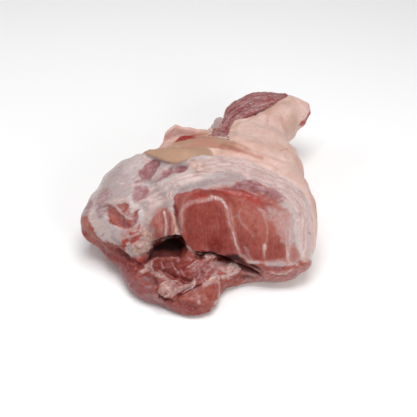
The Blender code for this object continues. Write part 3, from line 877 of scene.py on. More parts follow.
# ---------------------------------------------------------------------------------------------
# The flap of meat in front: marbled muscle in pale webs, lumps of fat, and a thin see-through
# slice of muscle that lies over its tip.
FLAP = (
    (116, 262), (124, 258), (134, 262), (142, 266), (150, 258), (182, 256), (184, 246), (192, 252),
    (205, 254), (219, 258), (232, 262), (244, 268), (262, 278), (262, 284), (236, 290), (222, 300),
    (208, 320), (186, 320), (160, 310), (136, 300), (122, 284), (112, 270),
)
FLAP_CREASE = ((117, 250), (122, 254), (128, 258.5), (134, 262), (139, 264.5), (143, 267))
FLAP_DARKS = (
    ((152, 262), (158, 259.5), (163, 262), (163.5, 268), (158, 271), (152, 269)),
    ((159, 269), (166, 269), (170, 272), (177, 277), (172, 279), (165, 274)),
    ((152.5, 275), (156, 276), (155.5, 281), (153, 282)),
    ((180, 277), (186, 279), (192.5, 281), (192, 285), (186, 285), (181, 282)),
    ((184, 262), (190, 266), (188, 276), (182, 276), (180, 268)),
    ((160, 296), (166, 297), (170, 300), (164, 301), (160, 299)),
    ((184, 304), (192, 304), (198, 306), (198, 310), (190, 310)),
)
FLAP_MAUVES = (
    ((124, 276), (132, 274), (140, 280), (152, 284), (156, 292), (148, 294), (138, 294), (130, 286)),
    ((193, 262), (204, 262), (214, 264), (214, 272), (206, 280), (196, 282), (191, 274)),
    ((170, 302), (180, 303), (188, 307), (190, 313), (178, 313), (171, 309)),
    ((216, 256), (226, 260), (240, 262), (248, 268), (240, 267), (226, 262)),
)
lay("bare", [FLAP], 1.5)
lay("deep", [FLAP], 5.0, 0.38)
lay("deep", FLAP_DARKS, 2.2, 0.95, 1.5)
FLAP_PATCHES = (
    # Darker red patches; on the upper flap this is partly painted shade under the overhang of the lobe.
    ("deep", (4.0, 0.85),
     ((152, 260), (162, 258), (178, 260), (182, 268), (180, 278), (168, 276), (158, 271), (151, 268)),
     ((120, 262), (130, 262), (142, 268), (140, 274), (130, 276), (122, 270)),
     ((182, 272), (196, 268), (206, 272), (204, 280), (194, 282), (184, 280))),
    # Painted shade on the upper flap under the overhang of the lobe, and on a small dark dot.
    ("shade", (4.0, 0.14),
     ((152, 260), (162, 258), (180, 260), (184, 272), (178, 279), (166, 276), (156, 270))),
    ("shade", (0.9, 0.5, 0.3), ((152, 276), (154, 276), (155, 279.5), (153, 279.5))),
    ("warm", (3.0, 0.6), ((222, 283), (234, 281), (235, 291), (223, 293))),
    ("blood", (1.6, 0.5),
     ((159, 290), (161, 286), (164, 286), (163, 290)),
     ((172, 284), (175, 287), (174, 289), (170, 286)),
     ((168, 296), (172, 293), (174, 296), (170, 298))),
    ("warm", (2.5, 0.5), ((184, 264), (184, 250), (192, 253), (198, 258), (196, 268), (190, 276))),
    ("deep", (2.0, 0.4), ((198, 306), (201, 300), (206, 303), (212, 303), (206, 309), (198, 308))),
    ("film", (4.0, 0.25), ((204, 283), (216, 282), (219, 288), (218, 298), (213, 304), (207, 296))),
    ("mauve", (2.0, 0.45), ((190, 289), (198, 286), (205, 289), (198, 293), (190, 294))),
    # Painted shadow below the flake, as darker red.
    ("deep", (3.0, 0.7), ((186, 306), (196, 306), (206, 309), (202, 315), (190, 315))),
)
cover_all(lay, FLAP_PATCHES)
lay("mauve", FLAP_MAUVES, 3.5, 0.5, 1.5)
# Painted shade along the crease, as darker red and a little near black.
draw("deep", [FLAP_CREASE], 4.5, 0.85)
draw("shade", [FLAP_CREASE], 4.0, 0.26)
# Silverskin on the flap; the third outline is a painted sheen, a soft highlight laid as pale film.
FLAP_SILVER_AND_SHEEN = (
    ((152.5, 258.5), (154, 260), (151.5, 264), (152.5, 268), (156, 271), (161, 273.5), (166, 277),
     (171, 279), (168, 281), (161, 278.5), (155, 276), (151, 272), (146, 271), (139, 272.5),
     (138, 270.5), (144, 268), (147, 264.5), (150, 261)),
    ((140, 295), (147, 293.5), (154, 295), (160, 299), (166, 303), (160, 303), (150, 300), (142, 298)),
    ((202, 283), (206, 282.5), (208, 285), (205, 287.5), (202, 287)),
    ((210, 263), (218, 261), (226, 262), (228, 267), (222, 270), (214, 270)),
)
# A painted shadow under the membrane band: mauve, darker red and near black, over a shallow dip.
FLAP_HOLLOW = ((139, 275), (146, 273), (152, 275.5), (156, 279), (155, 283), (148, 282), (141, 280))
lay("mauve", [FLAP_HOLLOW], 3.0, 0.6)
lay("deep", [FLAP_HOLLOW], 3.0, 0.6)
lay("shade", [FLAP_HOLLOW], 3.0, 0.28)
sink([FLAP_HOLLOW], 0.0012, 3.0)
# Film over the flap's silverskin and over the painted sheen.
lay("film", FLAP_SILVER_AND_SHEEN, 1.8, 1.0, 1.0)
lay("fat", FLAP_SILVER_AND_SHEEN[:2], 2.0, 0.45, 1.0)
lay("grey", FLAP_SILVER_AND_SHEEN[:2], 2.0, 0.6, 1.0)
FLAP_WEB = {
    "rim": ((151, 263), (153, 259.5), (158, 258), (166, 258.5), (170, 257.5), (178, 258)),
    "left": ((151, 262), (150.5, 268), (154, 271), (160, 272), (166, 277)),
    "lobe": ((162, 259), (161.5, 264), (164, 268), (160, 271)),
    "middle": ((170, 259.5), (173, 264), (174.5, 269), (178, 272)),
    "right": ((181, 268), (182, 273), (185, 278)),
    "strand": ((187, 268), (191, 266), (195, 261), (199, 259)),
    "strand_low": ((192, 269), (196, 265), (200, 262)),
    "under_lump": ((156, 288), (155, 292), (158, 297), (166, 298)),
    "fold": ((162, 279), (170, 279.5), (178, 282), (186, 286)),
}
FLAP_RIM = (
    (116, 262), (122, 262), (128, 270), (136, 279), (146, 288), (158, 296), (170, 303), (180, 308),
    (178, 318), (160, 312), (136, 302), (118, 280),
)
lay("mauve", [FLAP_RIM], 4.0, 0.6)
lay("deep", [FLAP_RIM], 5.0, 0.6)
lay("film", [FLAP_RIM], 6.0, 0.30)
PANEL_FOLD = ((196, 294.5), (199, 298), (199, 304))
FLAP_LINES = (
    ("mauve", (3.0, 0.9), ((120, 272), (128, 284), (137, 296), (152, 302), (168, 309))),
    ("film", (1.6, 0.5), ((119, 271), (127, 284), (136, 297))),
    ("mauve", (2.2, 0.5, 1.5),
     ((205, 268), (213, 264), (222, 267), (230, 266)),
     ((212, 274), (220, 270), (230, 271), (236, 270))),
    ("fat", (1.6, 0.8, 1.0),
     ((204, 276), (209, 269), (214, 264)),
     ((209, 280), (214, 273), (220, 268)),
     ((228, 264), (234, 264), (240, 269))),
    ("film", (2.6, 0.7), PANEL_FOLD),
    ("cream", (2.0, 0.6), PANEL_FOLD),
    ("fat", (1.2, 0.5), ((199, 297), (199, 304))),
    ("shade", (1.8, 0.5),
     ((160, 298), (166, 299), (172, 301)),
     ((154, 275), (155.5, 279), (154, 283))),
)
cover_all(draw, FLAP_LINES)
draw("film", FLAP_WEB.values(), 2.0, 0.5, 0.6)
FLAP_FAT = (
    (159, 291), (160, 285), (165, 281), (170, 281), (173, 285), (178, 289), (176, 294), (174, 299),
    (170, 298), (165, 297), (161, 295),
)
KNOB = ((202, 257.5), (204, 254), (209, 253.5), (214, 254.5), (216, 258), (212, 260.5), (206, 260.5))
RIGHT_FAT = (
    (206, 281), (211, 276), (216, 272), (223, 270), (227, 263), (234, 262), (241, 268.5), (239, 272),
    (234, 275.5), (228, 277.5), (220, 279), (212, 281),
)
CREAM_LINE = ((208, 281), (214, 277), (224, 277), (232, 276), (234, 278), (226, 280), (216, 281))
FLAP_BLOOD = ((213, 276), (217, 272.5), (223, 271), (228, 272.5), (225, 275), (219, 275.5))
FLAP_SLIT = ((162.5, 296), (163.5, 291.5), (167, 289.5), (167.5, 291.5), (165.5, 295))
lay("film", [FLAP_FAT, KNOB, RIGHT_FAT], 2.5, 0.85)
lay("fat", [FLAP_FAT, KNOB], 2.2, 0.42)
lay("warm", [FLAP_FAT, KNOB], 2.2, 0.9)
lay("bare", [FLAP_FAT], 2.2, 1.0)
lay("blush", [FLAP_FAT], 2.2, 0.5)
lay("fat", [RIGHT_FAT], 2.6, 0.62)
lay("cream", [CREAM_LINE], 2.0, 0.5)
lay("cream", [FLAP_FAT], 2.0, 0.3)
lay("fat", [CREAM_LINE], 1.6, 0.7)
lay("blood", [FLAP_BLOOD], 1.4, 0.75)
lay("blood", [FLAP_SLIT], 1.0, 0.7)
FLAP_RIDGE = ((172, 285), (178, 288), (184, 287.5), (189, 286), (193, 283.5), (195, 280.5))
draw("film", [FLAP_RIDGE], 3.4, 0.9)
draw("cream", [FLAP_RIDGE], 3.0, 0.6)
draw("fat", [FLAP_RIDGE[3:]], 1.8, 0.8)
PANEL = (
    (178, 297), (184, 292.5), (190, 289), (200, 285), (210, 281.5), (219, 281.5), (220, 290),
    (218.5, 299), (214, 304.5), (209, 309), (204, 306), (196, 306), (186, 304), (178, 301.5),
)
PANEL_FLAKE = (
    (177, 299.5), (186, 297), (194, 294.5), (198, 295), (199.5, 300), (198.5, 304.5), (192, 304),
    (184, 302.5),
)
PANEL_EDGE = ((208, 282.5), (214, 281), (219, 282), (220, 290), (218.5, 298), (214, 304))
lay("warm", [PANEL], 1.5, 0.8)
lay("warm", [PANEL_FLAKE], 1.5, 1.0)
lay("film", [PANEL_FLAKE], 2.0, 0.28)
draw("film", [PANEL_EDGE], 2.6, 0.9)
draw("cream", [PANEL_EDGE], 2.2, 0.8)
draw("fat", [PANEL_EDGE], 1.5, 0.5)
RIDGE_SHADOW = ((178, 296), (184, 292), (190, 289), (196, 286), (201, 284.5))
draw("deep", [RIDGE_SHADOW], 2.6, 1.0)
draw("shade", [RIDGE_SHADOW], 1.5, 0.55)
# Painted shadow as a darker red line under the lower edge of the flake.
draw("deep", [PANEL_FLAKE[4:] + ((178, 301.5),)], 1.8, 0.8)
sink([PANEL], -0.0026, 1.4, 0.5)
sink([PANEL_FLAKE], -0.0016, 0.9, 0.5)
sink([FLAP_FAT], -0.0042, 3.0)
sink([KNOB], -0.0036, 2.0)
sink([RIGHT_FAT], -0.0026, 2.5)
sink([FLAP_SLIT], 0.0022, 1.0)
sink([FLAP_DARKS[0], FLAP_DARKS[4]], -0.0018, 3.0)
FLAP_LUMPS = (
    ((-0.0022, 2.5), ((165, 260), (172, 261), (176, 266), (178, 273), (172, 271), (167, 267))),
    ((-0.0024, 3.0), ((192, 264), (202, 262), (206, 270), (202, 278), (194, 279), (190, 272))),
    ((0.0018, 1.2), ((221, 284), (230, 281), (240, 278), (236, 284), (228, 292), (221, 300))),
)
carve_all(sink, FLAP_LUMPS)
sink([FLAP_DARKS[1], FLAP_DARKS[3], FLAP_DARKS[5]], 0.0036, 2.0)
groove([FLAP_RIDGE], 2.6, -0.0028, 0.3)
groove([RIDGE_SHADOW], 2.2, 0.0030, 0.3)
FLAP_FOLD = ((152, 275), (156, 282), (157, 292), (163, 299), (172, 302))
groove([FLAP_FOLD], 2.6, 0.0022)
groove(FLAP_WEB.values(), 1.8, -0.0010)
groove([FLAP_CREASE], 3.0, 0.0022)

# ---------------------------------------------------------------------------------------------
# Under the right end of the lean face: the edge of the cut, which turns down towards the floor.
# Thin pale skins lie over red meat there, with a small hollow at the left that painted shade makes dark.
UNDER_FACE = (
    (238, 262), (250, 266), (262, 268), (276, 270), (290, 268), (300, 266), (308, 262), (312, 266),
    (300, 282), (280, 286), (250, 284), (240, 276),
)
UNDER_REDS = {
    "by_gap": ((238, 262), (250, 264.5), (256, 269), (264, 272), (256, 272), (246, 271), (240, 271)),
    "under_face": ((259, 264), (264, 264), (266, 270), (262, 270.5)),
    "right": ((288.5, 281), (289, 276), (291.5, 271.5), (296, 270), (300, 271), (297, 276), (292, 280)),
    "corner": ((298, 262), (300.5, 260), (301.5, 266), (299, 269), (297, 266)),
    "bottom": ((270, 280), (273, 278.5), (277, 279), (284, 279), (288, 282), (276, 282)),
}
UNDER_MAUVE = ((262, 267.5), (270, 266), (282, 267), (284, 271), (272, 272), (264, 271))
UNDER_PALES = {
    "left_skin": ((243, 274), (247, 271), (254, 270.5), (261, 273), (264, 279), (258, 280.5),
                  (252, 276.5)),
    "bright": ((268, 272.5), (274, 272.8), (284, 273), (291, 269.5), (292, 271.5), (284, 275),
               (270, 274.5)),
    "low": ((262, 273), (268, 275), (284, 277), (282, 279), (264, 280.5)),
    "right": ((284, 262), (296, 261), (304, 262), (306, 268), (296, 271), (286, 271)),
    "bottom": ((240, 281), (246, 279), (258, 279.5), (264, 281), (250, 283), (240, 284)),
}
lay("film", [UNDER_FACE], 2.5, 0.5)
lay("bare", [UNDER_FACE], 2.5, 1.0, 1.0, 3.0)
UNDER_PATCHES = (
    ("mauve", (3.0, 0.35), ((240, 270), (262, 270), (286, 272), (290, 280), (262, 284), (240, 282))),
    ("bare", (2.5, 0.8),
     ((240, 276), (256, 278), (286, 277), (292, 274), (302, 270), (296, 282), (270, 286), (240, 286))),
    ("warm", (2.0, 0.9), ((290, 262), (291, 251), (297, 249), (300, 254), (299, 261), (294, 263))),
    ("bare", (2.5, 0.75), ((290, 260), (291, 252), (296, 250), (299, 255), (296, 260))),
    ("cream", (2.5, 0.6), ((300, 262), (301, 257), (307, 256), (308, 264), (303, 268))),
    ("shade", (0.8, 0.55, 0.2), ((308.5, 232.5), (310, 232), (310.6, 233.6), (309.4, 234.8))),
)
cover_all(lay, UNDER_PATCHES)
lay("bare", UNDER_REDS.values(), 1.6, 1.0, 0.8, 0.5)
lay("mauve", [UNDER_REDS["right"], UNDER_REDS["by_gap"]], 1.6, 0.5)
# Under the edge of the lean face beside the gap: darker red and painted shade.
lay("deep", [UNDER_REDS["by_gap"]], 2.5, 1.0, 1.0, 1.0)
lay("shade", [UNDER_REDS["by_gap"]], 2.5, 0.3)
lay("deep", [UNDER_REDS["right"], UNDER_REDS["bottom"]], 2.0, 0.4)
lay("mauve", [UNDER_MAUVE], 2.2, 0.6)
lay("deep", [UNDER_MAUVE], 3.0, 0.35)
lay("fat", UNDER_PALES.values(), 1.8, 0.36)
UNDER_LINES = (
    ("film", (2.6, 0.35), ((254, 262.5), (262, 264.5), (272, 264.5), (286, 264), (292, 262))),
    ("deep", (1.5, 0.9, 0.3),
     ((267, 274), (274, 276.3), (284, 276)),
     ((261, 272), (262.5, 276), (262, 279))),
)
cover_all(draw, UNDER_LINES)
lay("fat", [UNDER_PALES["bright"]], 1.4, 1.0)
lay("mauve", [UNDER_PALES["bottom"]], 2.0, 0.3)
lay("warm", [UNDER_REDS["corner"]], 2.0, 0.9)
SMALL_HOLLOW = (
    (241, 278), (243, 275.7), (247, 274.9), (251, 276.1), (254.5, 278.3), (249, 278.8), (243, 279),
)
# Painted shade in the small hollow, as darker red and near black.
lay("deep", [SMALL_HOLLOW], 1.2, 1.0, 0.4)
lay("shade", [SMALL_HOLLOW], 1.0, 0.55, 0.4)
UNDER_GROOVES = (
    ((2.2, -0.0008), ((252, 263), (262, 264.5), (276, 264), (288, 262.5))),
    ((2.0, 0.0018, 0.3),
     ((266, 274), (276, 276.3), (286, 276)),
     ((242, 277.5), (248, 277), (254, 278.5))),
    ((1.8, -0.0010, 0.3), ((268, 272), (278, 273.3), (290, 270.5))),
)
carve_all(groove, UNDER_GROOVES)
sink([UNDER_MAUVE], 0.0008, 2.0)

# ---------------------------------------------------------------------------------------------
# The shank: bare muscle in long strands on its inner side, with a grey lump of membrane and
# white ends of tendon where it meets the body.
SHANK_MEAT = (
    (206, 138), (208, 131), (213, 126), (213, 120), (219, 117), (222, 111), (227, 106), (233, 102),
    (239, 97), (246, 92), (254, 89), (262, 88), (272, 89), (284, 90), (289, 92), (287, 96.5),
    (280, 100), (272, 107), (266, 109.5), (260, 112), (254, 115.5), (248, 117.5), (241, 118.5),
    (236, 118.5), (233, 122), (231, 127), (229, 132), (229, 137), (224, 138), (216, 137.5),
)
lay("bare", [SHANK_MEAT], 1.2, 1.0, 0.4)
lay("mauve", [SHANK_MEAT], 2.0, 0.55)
lay("deep", [SHANK_MEAT], 2.0, 0.4)
SHANK_PATCHES = (
    ("deep", (1.8, 0.7),
     ((240, 107), (243, 103), (250, 101), (252, 104), (246, 107)),
     ((250, 110), (253, 104), (262, 102), (272, 103), (270, 108), (260, 110)),
     ((222, 112), (226, 107), (230, 108), (228, 114)),
     ((221, 135), (222, 120), (232, 117), (232, 124), (229, 132))),
    ("blood", (1.2, 0.4),
     ((261, 100), (266, 97), (273, 97), (274, 100), (266, 101.5)),
     ((222, 133), (226, 126), (230, 125), (228, 131))),
)
cover_all(lay, SHANK_PATCHES)
SHANK_STRANDS = {
    "outer": ((284, 93), (262, 92), (246, 96), (234, 106), (224, 116), (218, 128)),
    "upper": ((270, 96), (254, 97), (242, 103), (234, 111), (226, 120)),
    "middle": ((262, 101), (248, 102), (240, 108), (232, 116), (227, 126)),
    "low": ((258, 111), (246, 109), (240, 110), (234, 116)),
    "edge": ((252, 115), (244, 113), (238, 114), (232, 121), (229, 130)),
    "near": ((222, 126), (219, 130), (214, 134)),
    "nearer": ((226, 124), (224, 130), (217, 135)),
}
draw("film", SHANK_STRANDS.values(), 2.2, 0.6, 1.2)
MEMBRANE_LUMP = ((210, 129), (212, 121), (216, 117), (222, 117), (224, 121), (222, 127), (214, 129))
on_lump = step_up(inside(MEMBRANE_LUMP), -1.5, 1.5)
paint["bare"] *= 1 - on_lump * 0.9
paint["mauve"] *= 1 - on_lump * 0.7
lay("film", [MEMBRANE_LUMP], 1.6, 0.35)
lay("grey", [MEMBRANE_LUMP], 1.6, 0.6)
sink([MEMBRANE_LUMP], -0.0012, 2.0)
groove(SHANK_STRANDS.values(), 2.0, -0.0012, 1.2)
SHANK_GROOVES = (
    ((276, 100), (260, 99.5), (247, 104), (238, 113), (229, 121)),
    ((262, 106), (250, 106), (243, 108)),
    ((256, 113), (244, 111), (238, 112)),
    ((238, 100), (228, 111), (221, 121)),
)
groove(SHANK_GROOVES, 1.6, 0.0016, 1.2)

# ---------------------------------------------------------------------------------------------
# Rind: seen on the shank, the neck, the right flank, the lip and the flap behind it. It is cut
# clean at its edges, which stand a little above the meat, and folds softly round the neck.
SHANK_RIND = (
    (287, 96.5), (296, 90), (313, 96), (318, 112), (300, 136), (296, 148), (310, 168), (324, 200),
    (326, 262), (314, 268), (312, 250), (313, 236), (313, 222), (310, 206), (304, 194), (293, 183),
    (279, 174), (264, 167), (249, 161), (232, 157), (214, 156), (200, 155.5), (192, 157.5),
    (187, 160.5), (179, 163), (172, 163.5), (165, 161.5), (158, 158.5), (150, 156), (145, 153.5),
    (141, 153), (136, 156), (132, 152), (152, 144), (165, 142), (178, 143), (189, 138.5), (198, 136.5),
    (210, 135.5), (222, 137), (229, 138.5), (229, 132), (231.5, 126.5), (234, 121), (241, 118.5),
    (252, 117), (260, 112.5), (270, 107.5), (279, 101),
)
BACK_FLAP = (
    (155, 152), (162, 144), (165, 138), (163, 131), (172, 121), (186, 123), (199, 126), (213, 129),
    (211, 136), (198, 137), (189, 139), (179, 143.5), (165, 148),
)
rind = np.maximum(inside(SHANK_RIND, 0.35), inside(BACK_FLAP, 0.35))
LIP_TAN = (
    (139, 152.5), (145, 151), (152, 149.5), (165, 149), (178, 148), (190, 147), (200, 146.5),
    (206, 147.5), (210, 150), (213, 154), (213, 156), (206, 156), (200, 156.5), (195, 158), (190, 160),
    (184, 162), (180, 163.5), (176, 164.3), (170, 164), (166, 162.5), (160, 160.3), (155, 159),
    (150, 157), (146, 154.5), (140, 153.8),
)
LIP_ROLL = (
    (163, 150), (170, 146.5), (176, 144), (182, 141.5), (190, 139.5), (197, 137.5), (205, 136.3),
    (212, 136.5), (220, 139), (228, 140.5), (235, 142), (236, 148), (232, 149.5), (226, 148.5),
    (214, 147.5), (200, 146), (190, 147.5), (178, 148.5),
)
ROLL_CREASE = (
    (184, 147.5), (192, 145.8), (200, 144.8), (207, 145.7), (214, 147), (222, 147), (230, 149.3),
    (240, 152), (250, 154), (262, 158.5),
)
lay("tan", [LIP_TAN], 1.2, 0.95, 0.4)
RIND_PATCHES = (
    ("tan", (2.5, 1.0),
     ((164, 160), (172, 158), (184, 158), (186, 161), (176, 164), (168, 163)),
     ((194, 150), (206, 148.5), (212, 154), (206, 156), (196, 156))),
    ("tan", (4.0, 0.5), ((228, 140.5), (240, 143), (248, 147), (250, 152), (238, 151), (228, 148.5))),
    ("shade", (2.5, 0.15), ((188, 149), (206, 148), (212, 154), (200, 155), (188, 154))),
    ("tan", (2.0, 0.9), ((213, 139), (222, 140.5), (227, 143), (224, 146.5), (214, 146))),
    ("blush", (1.5, 0.65),
     ((192, 139.5), (204, 138), (214, 139), (215, 146), (206, 145), (193, 145.5))),
    ("blush", (2.5, 0.5), ((226, 142), (240, 144), (252, 150), (250, 154), (238, 151), (226, 147))),
    ("blood", (1.2, 0.35, 0.3), ((204, 151), (208, 150.5), (207.5, 152.5), (204, 152.8))),
    ("blush", (1.2, 0.7), ((141, 151), (147, 150.5), (148, 153), (143, 153.3))),
    ("tan", (5.0, 0.25),
     ((226, 139), (250, 138), (290, 146), (300, 158), (280, 156), (250, 150), (230, 146))),
    ("tan", (4.0, 0.45), ((284, 130), (286, 116), (296, 114), (298, 122), (292, 132), (287, 136))),
    ("tan", (3.0, 0.3),
     ((262, 114), (272, 105), (282, 98), (296, 98), (292, 104), (276, 110), (268, 116))),
    ("tan", (2.5, 0.45), ((230, 139), (231, 130), (236, 121), (241, 120), (238, 130), (236, 139))),
    ("tan", (3.0, 0.3), ((213, 150), (222, 150), (234, 153), (234, 157), (214, 156))),
    ("blood", (1.6, 0.5, 0.4), ((188, 138), (190, 134.5), (195, 134), (197, 137))),
    ("tan", (2.0, 0.8), ((198, 133), (210, 132), (210, 137), (198, 137.5))),
    ("blush", (2.5, 0.2),
     ((178, 133), (184, 129.5), (192, 130), (192, 134), (182, 136)),
     ((166, 142), (168, 137), (174, 137), (173, 145), (168, 148))),
    ("blood", (0.6, 0.6, 0.2),
     ((170, 145), (170.2, 143), (172.3, 142.8), (172, 145.2)),
     ((175.5, 134), (175.5, 132.5), (177, 132.5), (177, 134))),
    ("blood", (1.2, 0.75, 0.4),
     ((297.5, 125.5), (300, 121), (304.5, 117), (308, 111.5), (312, 110), (312, 118), (306, 123),
      (301, 126))),
    ("blood", (0.6, 0.5, 0.2),
     ((293, 168), (294.5, 166), (295.5, 167.5), (294, 169)),
     ((297, 169), (298, 168), (298.5, 169.5))),
    ("blood", (0.8, 0.4, 0.4), ((266, 123), (266.5, 118), (268.5, 116), (269.5, 119), (268, 123))),
)
cover_all(lay, RIND_PATCHES)
lay("tan", [LIP_ROLL], 2.4, 0.95)
lay("shade", [LIP_ROLL], 2.0, 0.15)
UNDER_ROLL = ((163, 149), (172, 148.4), (182, 148), (192, 147.4), (200, 146.8))
RIND_LINES = (
    ("blush", (1.5, 0.85, 0.3), ((193, 145.3), (204, 145.2), (216, 145.6), (228, 146.8), (240, 149.5))),
    ("shade", (1.3, 0.14, 0.3), ((193, 145.4), (204, 145.3), (216, 145.8), (228, 147))),
    ("shade", (1.5, 0.20, 0.3),
     ((144, 154), (152, 157.5), (160, 160), (168, 163), (178, 163.6), (184, 162), (188, 160))),
    ("shade", (1.4, 0.16, 0.3), ((209, 151), (212, 153.5), (212.5, 155.5), (206, 156))),
    ("shade", (1.0, 0.5, 0.2), ((190.5, 160), (193, 160.8), (195, 160.4))),
    ("blush", (1.2, 0.5), ((196, 137.5), (204, 136.2), (212, 136.3), (219, 138.5))),
    ("blood", (1.2, 0.5, 0.3), ((280, 150.3), (284, 149.8), (288, 149))),
    ("blush", (3.0, 0.35),
     ((266, 126), (267, 116), (270, 108)),
     ((286, 134), (284, 126), (280, 118))),
    ("blush", (3.5, 0.4), ((296, 160), (304, 178), (312, 198), (317, 220))),
)
cover_all(draw, RIND_LINES)
draw("shade", [UNDER_ROLL], 1.5, 0.20, 0.3)
groove([UNDER_ROLL], 1.8, 0.0012, 0.2)
draw("blush", [ROLL_CREASE], 2.0, 0.85)
draw("tan", [ROLL_CREASE[:7]], 2.2, 0.8)
draw("tan", [ROLL_CREASE[6:]], 2.6, 0.35)
draw("shade", [ROLL_CREASE], 1.0, 0.07)
BACK_FLAP_RED = (
    (174.5, 144.5), (177, 139.5), (181, 137), (184, 136), (188, 136), (192, 137), (197, 137.8),
    (192, 139.8), (186, 141.5), (180, 143.5),
)
BACK_FLAP_ORANGE = (
    (186, 137.5), (188, 134), (194, 132.5), (200, 134), (206, 134.5), (208, 136.5), (198, 138.5),
    (190, 140),
)
lay("blood", [BACK_FLAP_RED], 1.0, 1.0, 0.4, 0.6)
lay("blush", [BACK_FLAP_ORANGE], 2.0, 0.9)
BACK_FLAP_EDGE = ((160, 151), (163.5, 146), (164.5, 141), (166.5, 137), (167.5, 134))
draw("mauve", [BACK_FLAP_EDGE], 3.0, 0.6)
draw("blush", [BACK_FLAP_EDGE], 3.0, 0.45)
CREAM_STRANDS = ((217, 137), (223, 136.5), (228, 133.5), (232, 136), (230, 140), (226, 143), (221, 140))
lay("cream", [CREAM_STRANDS], 1.5, 0.6)

RIND_STANDS = 0.0012
height += step_up(rind, -0.8, 1.2) * RIND_STANDS
RIND_GROOVES = (
    ((2.2, 0.0006, 0.2),
     ((145, 156), (152, 159), (160, 161.5), (168, 164.5), (176, 165.5), (184, 164), (190, 161),
      (196, 158))),
    ((2.0, 0.0030, 0.2),
     ((172, 143), (182, 140), (190, 138.3), (198, 136.3), (206, 135.2), (214, 135.5))),
    ((3.5, -0.0018, 0.2),
     ((168, 146.5), (180, 143.5), (192, 140.8), (204, 139.4), (216, 141), (230, 144), (244, 148))),
    ((1.8, -0.0010, 0.2), ((200, 148.2), (210, 148.4), (220, 149.4), (230, 150.6), (242, 154))),
    ((4.5, -0.0012, 0.2), ((150, 152.5), (164, 153.5), (180, 153), (196, 151), (206, 151.5))),
    ((3.0, -0.0008, 0.3), ((214, 150), (228, 152), (242, 156), (258, 161.5), (272, 167))),
    ((1.8, 0.0020, 0.3),
     ((287, 95), (278, 101), (268, 107.5), (256, 114), (248, 117), (240, 117.5), (234, 119), (230, 127),
      (227, 134))),
    ((3.0, -0.0008), ((226, 144), (244, 151), (262, 157.5), (278, 163.5))),
    ((1.6, 0.0012), ((280, 150.5), (289, 149))),
    ((5.0, 0.0012), ((290, 104), (284, 114), (285, 128), (289, 138))),
)
carve_all(groove, RIND_GROOVES)
groove([ROLL_CREASE], 2.4, 0.0020, 0.2)
NECK_FOLDS = {
    "first": ((229, 141), (245, 147), (262, 153), (278, 159), (292, 163)),
    "second": ((222, 149.5), (240, 154.5), (262, 161.5), (280, 169)),
    "third": ((191, 146.5), (206, 147.5), (222, 149), (238, 152)),
    "back": ((228, 139), (240, 140.5), (252, 141)),
}
groove(NECK_FOLDS.values(), 2.4, 0.0011)

# ---------------------------------------------------------------------------------------------
# Torn meat: where the flesh was pulled apart by hand or by a blunt knife. Its colours are more
# broken up. At the end every tissue's edge is softened, each by its own number of rounds.
lay("torn", [FLAP], 4.0, 0.85)
paint["torn"] *= 1 - step_up(inside(PANEL), -2.0, 3.0) * 0.8
lay("torn", [LEFT_EDGE, FAT_CRUMBS, GAP, UNDER_FACE], 3.0, 0.6)
TORN_TIP = (
    (110, 238), (118, 230), (130, 226), (142, 226), (152, 232), (154, 242), (140, 248), (120, 248),
)
lay("torn", [TORN_TIP], 3.0, 0.9)
lay("torn", [RED_CUT, RED_CUT_TOP, RED_WEDGE, HOLLOW], 3.0, 0.5)
lay("torn", [SHANK_MEAT], 1.5, 0.8)

SOFTER = {
    "tan": 2, "blush": 8, "bare": 3, "deep": 6, "warm": 8, "film": 5, "mauve": 4, "grey": 6, "fat": 4,
    "cream": 4, "blood": 2, "torn": 8, "shade": 1,
}
for tissue, rounds in SOFTER.items():
    paint[tissue] = spread(paint[tissue], rounds)

# ---------------------------------------------------------------------------------------------
# Out of the camera's sight: rind wraps the right side, the back and the underside. The back of
# the lobe shows silverskin, with bare meat low down, and the shank shows bare meat along its
# inner and back side. Two outlines say what is all rind or all meat behind the parts in view.
BEHIND_LIP = (
    (138, 150), (160, 118), (216, 118), (240, 134), (240, 152), (212, 164), (176, 170), (150, 160),
)
UNDER_SHANK = ((205, 134), (207, 114), (236, 112), (233, 128), (231, 138), (222, 142), (208, 140))

# Each rule counts from the edge of the rind, in about pixels of the photograph: above zero on
# the rind, below zero on meat. It looks at how far the surface faces the side that shows meat.
BODY_MIDDLE = np.array((0.004, -0.030, 0.050))
BODY_REACH = np.array((0.130, 0.100, 0.075))
MEAT_SIDE = np.array((-0.62, -0.70, 0.36))
SHANK_START = np.array((0.040, 0.050, 0.062))
SHANK_TIP = np.array((0.110, 0.158, 0.062))
SHANK_MEAT_SIDE = np.array((-0.62, 0.36, 0.70))
BODY_EDGE = 0.16
BODY_SHARP = 75
SHANK_EDGE = 0.30
SHANK_SHARP = 30
EDGE_WANDER = 4
ALL_RIND = 20
ALL_MEAT = -30
RIND_SOFT = 12
SHANK_BEGINS = (0.0, 0.25)
MORE_RIND_AT_ROOT = 0.5
SHANK_ROOT = (0.0, 0.35)
MORE_RIND_AT_TIP = 0.15
SHANK_END = (0.75, 1.0)

# The meat and the margin of fat that these rules leave: from how far below the edge of the rind
# to how far, and for the meat of the body also from what height down to what height.
SHANK_MEAT_FROM = (2, 4)
BODY_MEAT_FROM = (6, 9)
BODY_MEAT_LEVEL = (0.034, 0.046)
LEVEL_WANDER = 0.006
FAT_FROM = (-1, 1)
FAT_TO = (5, 9)
LESS_FAT_ON_SHANK = 0.6

